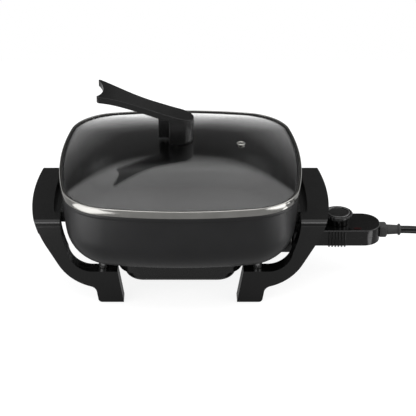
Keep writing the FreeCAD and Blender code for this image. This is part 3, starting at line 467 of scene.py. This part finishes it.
def soften_mouldings():
    for node_name, radius_mm in MOULDING_RADII.items():
        soften(node_name, radius_mm)
    for node_name, radius_mm in SMOOTH_RADII.items():
        soften(node_name, radius_mm, finish=SMOOTH_THERMOSET)
    soften("handle_spacers", 0.5, finish=OXIDISED_STEEL)
    soften("heater_cover", 0.5, move=deepen_cover)
    soften("socket_shroud", 0.5, move=slope_shroud)


def plan_ring(half, corner_r, side_r, z):
    """One level of the rounded square, as points in metres from +X round by +Y. Each side
    and corner is one arc, and turn is the angle at which they meet without a kink."""
    reach = side_r - corner_r
    turn = math.pi / 4 + math.asin((half - side_r) / (math.sqrt(2) * reach))
    side_c = half - side_r
    corner_c = reach * math.sin(turn)
    quarter = []
    for i in range(SIDE_STEPS):
        a = turn * (2 * i / SIDE_STEPS - 1)
        quarter.append((side_c + side_r * math.cos(a), side_r * math.sin(a)))
    for i in range(CORNER_STEPS):
        a = turn + (math.pi / 2 - 2 * turn) * i / CORNER_STEPS
        quarter.append((corner_c + corner_r * math.cos(a), corner_c + corner_r * math.sin(a)))
    whole = list(quarter)
    for _ in range(3):
        quarter = [(-y, x) for x, y in quarter]
        whole += quarter
    return [Vector((x * MM + PAN_X, y * MM, z * MM)) for x, y in whole]


def inset_ring(inset, z):
    """The plan of the lid's outer edge, moved inwards by inset."""
    return plan_ring(LID_HALF - inset, LID_CORNER_R - inset, LID_SIDE_R - inset, z)


def skin(rings, ends="caps"):
    """Faces between rings of equal count; the ends are capped or joined to each other."""
    shape = bmesh.new()
    rows = [[shape.verts.new(point) for point in ring] for ring in rings]
    pairs = list(zip(rows, rows[1:]))
    if ends == "joined":
        pairs.append((rows[-1], rows[0]))
    for low, high in pairs:
        for i in range(len(low)):
            j = (i + 1) % len(low)
            shape.faces.new((low[i], low[j], high[j], high[i]))
    if ends == "caps":
        shape.faces.new(list(reversed(rows[0])))
        shape.faces.new(rows[-1])
    bmesh.ops.recalc_face_normals(shape, faces=shape.faces)
    mesh = bpy.data.meshes.new("skin")
    shape.to_mesh(mesh)
    shape.free()
    return mesh


def arc_points(centre, radius, start_deg, end_deg, steps):
    """Points of an arc in a profile, as (inset, height)."""
    points = []
    for i in range(steps + 1):
        a = math.radians(start_deg + (end_deg - start_deg) * i / steps)
        points.append((centre[0] + radius * math.cos(a), centre[1] + radius * math.sin(a)))
    return points


def make_pan():
    """Die-cast bowl: tapered wall, deep floor radius and a small lip under the lid."""
    def wall(z):
        return PAN_INSET + math.tan(PAN_DRAFT) * (PAN_TOP_Z - z)

    bend = PAN_BOTTOM_Z + PAN_EDGE_R
    outer = arc_points((wall(bend) + PAN_EDGE_R, bend), PAN_EDGE_R, 270.0, 180.0, EDGE_STEPS)
    lip_z = PAN_TOP_Z - LIP_DROP
    lip = [(wall(140.0), 140.0), (wall(lip_z), lip_z), (LIP_INSET + 0.5, lip_z + 0.3),
           (LIP_INSET, lip_z + 1.0), (LIP_INSET, PAN_TOP_Z - 0.7), (LIP_INSET + 0.2, PAN_TOP_Z - 0.2),
           (LIP_INSET + 0.7, PAN_TOP_Z)]
    top = PAN_INSET + PAN_WALL
    mouth = [(top - 0.8, PAN_TOP_Z), (top - 0.2, PAN_TOP_Z - 0.25), (top + 0.05, PAN_TOP_Z - 0.9)]
    inner_r = PAN_EDGE_R - PAN_WALL
    inner_bend = PAN_BOTTOM_Z + PAN_WALL + inner_r
    inner = arc_points((wall(inner_bend) + PAN_WALL + inner_r, inner_bend), inner_r,
                       180.0, 270.0, EDGE_STEPS)
    first, last = outer[0], inner[-1]
    profile = [(first[0] + 2.0, first[1])] + outer + lip + mouth + inner + [(last[0] + 2.0, last[1])]
    show_mesh("cast_pan", skin([inset_ring(*point) for point in profile]), "pan", 50.0)


def crown_z(share):
    """Height of the glass's outside at a share of the way from its top to its edge."""
    return CROWN_EDGE_Z + CROWN_RISE * (1 - share ** CROWN_POWER)


def crown_ring(share, drop):
    """One level of the glass's crown, whose plan grows rounder towards the top."""
    edge = LID_HALF - CROWN_EDGE
    half = edge * share
    corner = (LID_CORNER_R - CROWN_EDGE) / edge
    side = (LID_SIDE_R - CROWN_EDGE) / edge
    return plan_ring(half, half * (corner * share + CROWN_TOP_CORNER * (1 - share)),
                     half * (side * share + CROWN_TOP_SIDE * (1 - share)), crown_z(share) - drop)


def mounting_hole_ring(z):
    """The hole at the top, with as many points as the crown's rings."""
    count = 4 * (SIDE_STEPS + CORNER_STEPS)
    start = crown_ring(CROWN_TOP_SHARE, 0.0)[0]
    first = math.atan2(start.y, start.x - PAN_X)
    turns = [first + 2 * math.pi * i / count for i in range(count)]
    return [Vector((GLASS_HOLE_R * math.cos(a) * MM + PAN_X, GLASS_HOLE_R * math.sin(a) * MM, z * MM))
            for a in turns]


def make_glass():
    """Pressed crown with a ground and rounded edge inside the band. Its rings lie closer
    together near the edge, where the crown bends most."""
    shares = [1.0, 0.985, 0.965] + [0.94 - 0.041 * i for i in range(20)] + [CROWN_TOP_SHARE]
    inside = [crown_ring(s, GLASS_THICK) for s in shares]
    outside = [crown_ring(s, 0.0) for s in reversed(shares)]
    top_z = crown_z(CROWN_TOP_SHARE)
    hole = [mounting_hole_ring(top_z - GLASS_THICK), mounting_hole_ring(top_z)]
    high, low = CROWN_EDGE_Z, CROWN_EDGE_Z - GLASS_THICK
    edge = [inset_ring(GLASS_EDGE + 0.6, high - 0.05), inset_ring(GLASS_EDGE + 0.1, high - 0.6),
            inset_ring(GLASS_EDGE, high - GLASS_THICK / 2), inset_ring(GLASS_EDGE + 0.1, low + 0.6),
            inset_ring(GLASS_EDGE + 0.6, low + 0.05)]
    crown = skin(inside + hole + outside + edge, "joined")
    show_mesh("pressed_glass_crown", crown, "lid_glass", 30.0)


def make_band():
    """Rolled steel channel: outer wall, rounded shoulder and the lip that holds the glass."""
    top = LID_TOP / MM
    low = PAN_TOP_Z
    shoulder = arc_points((BAND_SHOULDER_R, top - BAND_SHOULDER_R), BAND_SHOULDER_R, 180.0, 90.0, 6)
    fold = arc_points((BAND_LIP - BAND_FOLD_R, top - BAND_FOLD_R), BAND_FOLD_R, 90.0, -90.0, 5)
    under = [(BAND_WALL + 0.5, top - 0.9), (BAND_WALL + 0.15, top - 1.05), (BAND_WALL, top - 1.4),
             (BAND_WALL, low + 0.5)]
    foot = arc_points((BAND_FOOT_R, low + BAND_FOOT_R), BAND_FOOT_R, 0.0, -180.0, 6)
    band = skin([inset_ring(*point) for point in foot + shoulder + fold + under], "joined")
    show_mesh("rolled_steel_band", band, "lid_rim", 60.0)


def make_seal():
    """Silicone channel round the glass's edge, with a fine bead showing inside the band's lip."""
    top = LID_TOP / MM - 0.95
    high, low = CROWN_EDGE_Z + SEAL_GAP, CROWN_EDGE_Z - GLASS_THICK - SEAL_GAP
    foot = PAN_TOP_Z + 0.2
    profile = [(1.25, foot), (1.25, top), (BAND_LIP - 0.1, top), (BAND_LIP + 0.35, top + 0.2),
               (BAND_LIP + 1.2, top), (BAND_LIP + 1.7, high + 0.25), (BAND_LIP + 1.6, high),
               (GLASS_EDGE - 0.1, high), (GLASS_EDGE - 0.1, low), (5.4, low - 0.1), (5.6, low - 0.8),
               (2.4, foot)]
    seal = skin([inset_ring(*point) for point in profile], "joined")
    show_mesh("glass_seal", seal, "lid_gasket", 40.0)


def make_stem_pad():
    """Soft pad between the stem and the glass, as wide as the stem and cut flat like it."""
    low = crown_z(0.0) - 0.3
    high = low + 2.3
    profile = [(PAD_HOLE_R, low), (PAD_R - 0.25, low), (PAD_R, low + 0.3), (PAD_R, high), (PAD_HOLE_R, high)]
    cut = PAN_X + PAD_FLAT_X * MM
    rings = [[Vector((max(point.x, cut), point.y, point.z)) for point in ring]
             for ring in turned(profile, (PAN_X, 0.0), 64)]
    show_mesh("soft_stem_pad", skin(rings, "joined"), "handle_seat", 40.0)


def turned(profile, centre, steps):
    """A lathe shape about a vertical axis; profile points are (radius, height) in mm."""
    turns = [2 * math.pi * i / steps for i in range(steps)]
    return [[Vector((centre[0] + r * MM * math.cos(a), centre[1] + r * MM * math.sin(a), z * MM))
             for a in turns] for r, z in profile]


def make_vent():
    """Pressed steel eyelet: a rolled collar round the steam hole."""
    x, y = VENT_PLACE
    z = crown_z(math.hypot(x, y) / (LID_HALF - CROWN_EDGE))
    profile = [(3.7, z - 5.4), (4.9, z - 5.7), (5.0, z - 5.1), (3.9, z - 4.6), (3.9, z - 1.2),
               (5.5, z + 0.5), (5.8, z + 1.0), (5.5, z + 1.6), (4.7, z + 2.0), (4.0, z + 1.8),
               (3.6, z + 1.1), (3.5, z + 0.2), (3.5, z - 5.0)]
    mesh = skin(turned(profile, (x * MM + PAN_X, y * MM), 48), "joined")
    show_mesh("rolled_eyelet", mesh, "vent_eyelet", 45.0)


def instance_tree(name, around):
    """Nodes that repeat a tool along a row or around a ring, and set its finish. The
    second result holds the identifier of each named input."""
    tree = bpy.data.node_groups.new(name, "GeometryNodeTree")
    face = tree.interface
    face.new_socket("Geometry", in_out="OUTPUT", socket_type="NodeSocketGeometry")
    keys = {}
    for label, kind in (("Tool", "Object"), ("Count", "Int"), ("Centre", "Vector"), ("Step", "Vector"),
                        ("Radius", "Float"), ("Start", "Float"), ("Finish", "Material")):
        socket = face.new_socket(label, in_out="INPUT", socket_type="NodeSocket" + kind)
        keys[label] = socket.identifier
    given = node(tree, "NodeGroupInput")
    tool = node(tree, "GeometryNodeObjectInfo", Object=given.outputs["Tool"])
    points = node(tree, "GeometryNodePoints", Count=given.outputs["Count"])
    index = node(tree, "GeometryNodeInputIndex").outputs[0]
    if around:
        share = node(tree, "ShaderNodeMath", {"operation": "DIVIDE"}, _0=index, _1=given.outputs["Count"])
        angle = node(tree, "ShaderNodeMath", {"operation": "MULTIPLY_ADD"}, _0=share.outputs[0],
                     _1=2 * math.pi, _2=given.outputs["Start"]).outputs[0]
        turn = node(tree, "ShaderNodeCombineXYZ", Z=angle).outputs[0]
        arm = node(tree, "ShaderNodeCombineXYZ", X=given.outputs["Radius"]).outputs[0]
        offset = node(tree, "ShaderNodeVectorRotate", {"rotation_type": "EULER_XYZ"},
                      _0=arm, _4=turn).outputs[0]
    else:
        turn = None
        offset = node(tree, "ShaderNodeVectorMath", {"operation": "SCALE"}, _0=given.outputs["Step"],
                      Scale=index).outputs[0]
    place = node(tree, "ShaderNodeVectorMath", {"operation": "ADD"},
                 _0=given.outputs["Centre"], _1=offset).outputs[0]
    moved = node(tree, "GeometryNodeSetPosition", Geometry=points.outputs[0], Position=place).outputs[0]
    laid = node(tree, "GeometryNodeInstanceOnPoints", Points=moved, Instance=tool.outputs["Geometry"])
    if turn is not None:
        tree.links.new(turn, laid.inputs["Rotation"])
    real = node(tree, "GeometryNodeRealizeInstances", Geometry=laid.outputs[0]).outputs[0]
    done = node(tree, "GeometryNodeSetMaterial", Geometry=real,
                Material=given.outputs["Finish"]).outputs[0]
    result = node(tree, "NodeGroupOutput")
    tree.links.new(done, result.inputs[0])
    return tree, keys


ROW = instance_tree("tool_row", False)
RING = instance_tree("tool_ring", True)


def repeat(kind, tool_mesh, finish, **sizes):
    """The mesh of a tool repeated by the ROW or RING nodes."""
    tree, keys = kind
    tool = worker_object(tool_mesh)
    worker = worker_object(bpy.data.meshes.new("repeated"))
    made = worker.modifiers.new("repeat", "NODES")
    made.node_group = tree
    made[keys["Tool"]] = tool
    made[keys["Finish"]] = finish
    for label, value in sizes.items():
        made[keys[label]] = value
    mesh = evaluated_mesh(worker)
    bpy.data.objects.remove(tool)
    return mesh


def joined(meshes):
    """Several meshes as one, which takes its material when it is shown."""
    shape = bmesh.new()
    for mesh in meshes:
        shape.from_mesh(mesh)
    result = bpy.data.meshes.new("joined")
    shape.to_mesh(result)
    shape.free()
    return result


def pan_head_screw(head_r, shank_r, length):
    """A cross-recessed screw driven from below, its head's seat at the origin, as a mesh."""
    dome = [(head_r * math.cos(a), 0.55 * head_r * math.sin(a)) for a in (0.0, 0.35, 0.7, 1.0, 1.25)]
    recess = [(head_r * 0.5, 0.5 * head_r), (head_r * 0.32, 0.16 * head_r),
              (head_r * 0.05, 0.12 * head_r)]
    turns = [2 * math.pi * i / 32 for i in range(32)]
    rings = []
    for r, z in [(shank_r, -length), (shank_r, 0.0)] + dome:
        rings.append([Vector((r * math.cos(a), r * math.sin(a), -z)) * MM for a in turns])
    for r, z in recess:
        cross = [r * (0.45 + 0.55 * abs(math.cos(2 * a)) ** 3) for a in turns]
        rings.append([Vector((w * math.cos(a), w * math.sin(a), -z)) * MM for w, a in zip(cross, turns)])
    return skin(rings)


def make_probe_ribs():
    """Finger ribs down both sides of the probe, a little longer than the housing is deep."""
    angles = [math.radians(degrees) for degrees in RIB_ANGLES]
    for node_name, low, high in RIB_SPANS:
        rows = []
        for side in (-1, 1):
            section = [(RIB_WIDTH / 2 * math.cos(a), side * (RIB_PROUD * max(0.0, math.sin(a)) - RIB_SUNK))
                       for a in angles]
            bar = skin([[Vector((x, y, z)) * MM for x, y in section]
                        for z in (low, low + 0.5, high - 0.5, high)])
            first = (RIB_FIRST_X * MM + PAN_X, side * RIB_ROOT_Y * MM, 0.0)
            rows.append(repeat(ROW, bar, SMOOTH_THERMOSET, Count=RIB_COUNT, Centre=first,
                               Step=(RIB_PITCH * MM, 0.0, 0.0)))
        show_mesh(node_name + "_ribs", joined(rows), node_name, 60.0, SMOOTH_THERMOSET)


def make_screws():
    """Every screw group as pairs of one turned screw, each pair a row from front to back."""
    # Head radius, shank radius and length, then x, y and z of the front screw and the pair's pitch
    groups = {
        "cover_screws": ((4.2, 2.0, 33.0), [(-40.0, -70.0, 31.2, 140.0), (40.0, -70.0, 31.2, 140.0)]),
        "right_bracket_screws": ((4.4, 2.0, 5.8), [(162.5, -34.0, 102.2, 68.0)]),
        "left_bracket_screws": ((4.4, 2.0, 5.8), [(-162.5, -34.0, 102.2, 68.0)]),
        "housing_screws": ((2.6, 1.3, 17.0), [(162.0, -19.0, 56.9, 38.0), (246.0, -19.0, 56.9, 38.0)]),
    }
    for node_name, (sizes, pairs) in groups.items():
        meshes = []
        for x, y, z, pitch in pairs:
            front = (x * MM + PAN_X, y * MM, z * MM)
            meshes.append(repeat(ROW, pan_head_screw(*sizes), FINISHES["zinc_steel"], Count=2,
                                 Centre=front, Step=(0.0, pitch * MM, 0.0)))
        show_mesh(node_name + "_turned", joined(meshes), node_name, 30.0)


def make_dial():
    """A knob with a scalloped skirt, a knurled finger rim and a shallow dished top."""
    centre = (DIAL_X * MM + PAN_X, 0.0)
    count = SKIRT_FLUTES * 8
    base, rim, top = DIAL_BASE_Z, DIAL_RIM_Z, DIAL_TOP_Z
    # Radius, height and the share of the scallops' wave
    profile = [(3.0, base, 0.0), (13.0, base, 1.0), (13.9, base + 0.5, 1.0), (14.1, rim - 1.2, 1.0),
               (15.0, rim - 0.2, 0.5), (18.2, rim, 0.0), (19.0, rim + 0.4, 0.0), (19.2, rim + 0.9, 0.0),
               (19.2, top - 0.9, 0.0), (18.9, top - 0.3, 0.0), (18.3, top, 0.0), (16.1, top, 0.0),
               (15.7, top - 0.3, 0.0), (15.5, top - 1.15, 0.0), (3.0, top - 1.15, 0.0)]
    rings = []
    for r, z, flute in profile:
        ring = []
        for i in range(count):
            a = 2 * math.pi * i / count
            reach = r + flute * SKIRT_WAVE * abs(math.cos(SKIRT_FLUTES * a / 2)) ** 0.7
            ring.append(Vector((centre[0] + reach * MM * math.cos(a),
                                centre[1] + reach * MM * math.sin(a), z * MM)))
        rings.append(ring)
    body = skin(rings, "joined")
    tooth = skin(turned([(0.2, rim + 0.5), (0.7, rim + 0.7), (0.85, rim + 1.2), (0.85, top - 1.0),
                         (0.7, top - 0.5), (0.2, top - 0.35)], (0.0, 0.0), 12))
    teeth = repeat(RING, tooth, FINISHES["phenolic"], Count=DIAL_TEETH, Centre=(*centre, 0.0),
                   Radius=(DIAL_R - TEETH_SUNK) * MM, Start=0.0)
    show_mesh("scalloped_dial", joined([body, teeth]), "dial", 40.0)


def make_dial_cap():
    """A glossy disc with a raised bead near its edge."""
    top = DIAL_TOP_Z
    bead = arc_points((14.9, top - 0.15), 0.95, -35.0, 215.0, 12)
    profile = [(0.4, top - 1.2), (15.4, top - 1.2)] + bead
    profile += [(13.9, top - 0.75), (11.5, top - 0.72), (0.4, top - 0.6)]
    disc = skin(turned(profile, (DIAL_X * MM + PAN_X, 0.0), 96))
    show_mesh("glossy_dial_cap", disc, "dial_cap", 40.0, LACQUERED_CAP)


def set_camera():
    """The photo's camera, which looks down at the lid and is shifted sideways like the photo."""
    forward = Vector((0, math.cos(CAMERA_TILT), -math.sin(CAMERA_TILT)))
    up = Vector((0, math.sin(CAMERA_TILT), math.cos(CAMERA_TILT)))
    camera = bpy.data.objects.new("photo_camera", bpy.data.cameras.new("photo_camera"))
    bpy.context.collection.objects.link(camera)
    camera.location = Vector((PAN_X, 0, LID_TOP)) - forward * CAMERA_DISTANCE - up * CAMERA_RISE
    camera.rotation_euler = (math.pi / 2 - CAMERA_TILT, 0, 0)
    camera.data.sensor_width = SENSOR_MM
    camera.data.lens = FOCAL_PX / PHOTO_WIDTH * SENSOR_MM
    camera.data.shift_x = (PHOTO_WIDTH / 2 - MIRROR_PX) / PHOTO_WIDTH
    camera.data.clip_end = 20
    bpy.context.scene.camera = camera


def cord_route():
    """The free cord's corners: straight out, down in an easy slope, and onto the table."""
    sloped = sum(run * math.sin(math.radians(-d)) for run, d in CORD_RUNS_MM)
    stretch = (CORD_Z - CORD_D / 2) / sloped
    at = RELIEF_END.copy()
    points = [at]
    for run, direction in CORD_RUNS_MM:
        a = math.radians(direction)
        at = at + Vector((math.cos(a), 0, math.sin(a))) * run * stretch
        points.append(at)
    return points


def coil_point(turn, centre):
    """A point of the coil, which winds inwards on the table, climbs and winds outwards on top."""
    low, climb = COIL_LOWER_TURNS, COIL_CLIMB_TURNS
    inner = COIL_START_R - COIL_PITCH * low
    if turn <= low:
        r, lift = COIL_START_R - COIL_PITCH * turn, 0.0
    elif turn < low + climb:
        r, lift = inner, COIL_LIFT * (1 - math.cos(math.pi * (turn - low) / climb)) / 2
    else:
        r, lift = inner + COIL_PITCH * (turn - low - climb), COIL_LIFT
    a = 2 * math.pi * turn
    return centre + Vector((r * math.sin(a), r * math.cos(a), lift))


def make_cord():
    """One spline through the free cord and its coil, thick as the jacket."""
    route = cord_route()
    end = route[-1]
    centre = Vector((end.x + CORD_D, end.y - COIL_START_R, CORD_D / 2))
    steps = int(COIL_TURNS * COIL_STEPS)
    turns = [coil_point(i / COIL_STEPS, centre) for i in range(steps + 1)]
    last = turns[-1] + Vector((0, -CORD_D, 0))
    points = route + turns + [last]
    curve = bpy.data.curves.new("mains_cord", "CURVE")
    curve.dimensions = "3D"
    spline = curve.splines.new("NURBS")
    spline.points.add(len(points) - 1)
    for place, point in zip(spline.points, points):
        place.co = (*point, 1.0)
    spline.order_u = 3
    spline.use_endpoint_u = True
    spline.resolution_u = 6
    curve.bevel_depth = CORD_D / 2
    curve.bevel_resolution = 6
    curve.use_fill_caps = True
    curve.materials.append(FINISHES["cord_jacket"])
    piece = bpy.data.objects.new("mains_cord", curve)
    bpy.context.collection.objects.link(piece)
    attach(piece, "probe")
    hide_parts("cord", "cord_coil")
    soften("plug_body", 0.5)
    soften("strain_relief", 0.5)


def white_for_camera(tree, shader, output):
    """The background's white for the camera, and less of it for gloss and glass; the shadow stays."""
    path = node(tree, "ShaderNodeLightPath")
    mirrored = node(tree, "ShaderNodeMath", {"operation": "MAXIMUM"},
                    _0=path.outputs["Is Glossy Ray"], _1=path.outputs["Is Transmission Ray"])
    level = node(tree, "ShaderNodeMath", {"operation": "MULTIPLY"}, _0=mirrored.outputs[0], _1=MIRRORED_GLOW)
    strength = node(tree, "ShaderNodeMath", {"operation": "MULTIPLY_ADD"},
                    _0=path.outputs["Is Camera Ray"], _1=CAMERA_GLOW, _2=level.outputs[0])
    glow = node(tree, "ShaderNodeEmission", Color=(1, 1, 1, 1), Strength=strength.outputs[0])
    both = node(tree, "ShaderNodeAddShader", _0=shader.outputs[0], _1=glow.outputs[0])
    tree.links.new(both.outputs[0], output.inputs[0])


def make_stage():
    """White paper on the table."""
    mesh = bpy.data.meshes.new("floor")
    half = FLOOR_HALF
    corners = [(-half, -half, 0), (half, -half, 0), (half, half, 0), (-half, half, 0)]
    mesh.from_pydata(corners, [], [(0, 1, 2, 3)])
    floor = bpy.data.objects.new("floor", mesh)
    bpy.context.collection.objects.link(floor)
    material = bpy.data.materials.new("white_paper_floor")
    material.use_nodes = True
    tree = material.node_tree
    tree.nodes.remove(tree.nodes["Principled BSDF"])
    paper = node(tree, "ShaderNodeBsdfDiffuse", Color=(FLOOR_WHITE, FLOOR_WHITE, FLOOR_WHITE, 1))
    white_for_camera(tree, paper, tree.nodes["Material Output"])
    mesh.materials.append(material)


def make_light(name, place, aim, size, radiance, turn=0.0):
    """A lamp seen only in its light: a rectangle of even brightness, turned about Z in degrees."""
    data = bpy.data.lights.new(name, "AREA")
    data.shape = "RECTANGLE"
    data.size, data.size_y = size
    data.energy = radiance * math.pi * size[0] * size[1]
    lamp = bpy.data.objects.new(name, data)
    bpy.context.collection.objects.link(lamp)
    lamp.visible_camera = False
    lamp.location = place
    facing = (Vector(aim) - Vector(place)).to_track_quat("-Z", "Y").to_euler()
    lamp.rotation_euler = (facing.x, facing.y, facing.z + math.radians(turn))


def ramp_of(tree, value, limits, stops):
    """Brightness that follows a value between its limits through the given stops."""
    low, high = limits
    share = node(tree, "ShaderNodeMapRange", _0=value, _1=low, _2=high)
    ramp = node(tree, "ShaderNodeValToRGB", Fac=share.outputs[0])
    band = ramp.color_ramp
    while len(band.elements) < len(stops):
        band.elements.new(0.5)
    for element, (place, level) in zip(band.elements, stops):
        element.position = (place - low) / (high - low)
        shade = level / BRIGHTEST
        element.color = (shade, shade, shade, 1)
    return ramp.outputs[0]


def light_scene():
    """A pale horizon, a dark belt above it, a bright ceiling and the lamps of a photo studio."""
    world = bpy.data.worlds.new("studio")
    bpy.context.scene.world = world
    world.use_nodes = True
    tree = world.node_tree
    sky = tree.nodes["Background"]
    coords = node(tree, "ShaderNodeTexCoord")
    way = node(tree, "ShaderNodeSeparateXYZ", Vector=coords.outputs["Generated"])
    aside = node(tree, "ShaderNodeMath", {"operation": "ABSOLUTE"}, _0=way.outputs[0])
    near_horizon = node(tree, "ShaderNodeMath", {"operation": "MULTIPLY_ADD"}, _0=aside.outputs[0],
                        _1=-HORIZON_SPREAD, _2=way.outputs[2])
    overhead = node(tree, "ShaderNodeMath", {"operation": "MULTIPLY_ADD"}, _0=aside.outputs[0],
                    _1=CEILING_SPREAD, _2=way.outputs[2])
    horizon = ramp_of(tree, near_horizon.outputs[0], HORIZON_RANGE, HORIZON_LEVELS)
    ceiling = ramp_of(tree, overhead.outputs[0], CEILING_RANGE, CEILING_LEVELS)
    both = node(tree, "ShaderNodeMath", {"operation": "ADD"}, _0=horizon, _1=ceiling)
    studio = node(tree, "ShaderNodeMath", {"operation": "MULTIPLY"}, _0=both.outputs[0], _1=BRIGHTEST)
    path = node(tree, "ShaderNodeLightPath")
    level = node(tree, "ShaderNodeMix", _0=path.outputs["Is Camera Ray"], _2=studio.outputs[0], _3=1.0)
    tree.links.new(level.outputs[0], sky.inputs["Strength"])
    sky.inputs["Color"].default_value = (1, 1, 1, 1)
    for name, (x, y), size, radiance, turn in REFLECTORS:
        make_light(name, (PAN_X + x, y, REFLECTOR_Z), (PAN_X + x, y, 1.0), size, radiance, turn)
    for name, (x, y, z), aim_z, size, radiance in SOFTBOXES:
        make_light(name, (PAN_X + x, y, z), (PAN_X, 0, aim_z), size, radiance)
    bpy.context.scene.view_settings.view_transform = "Standard"


set_camera()
make_cord()
dress_frame()
soften_mouldings()
make_pan()
make_glass()
make_band()
make_seal()
make_stem_pad()
make_vent()
make_screws()
make_probe_ribs()
make_dial()
make_dial_cap()
make_stage()
light_scene()
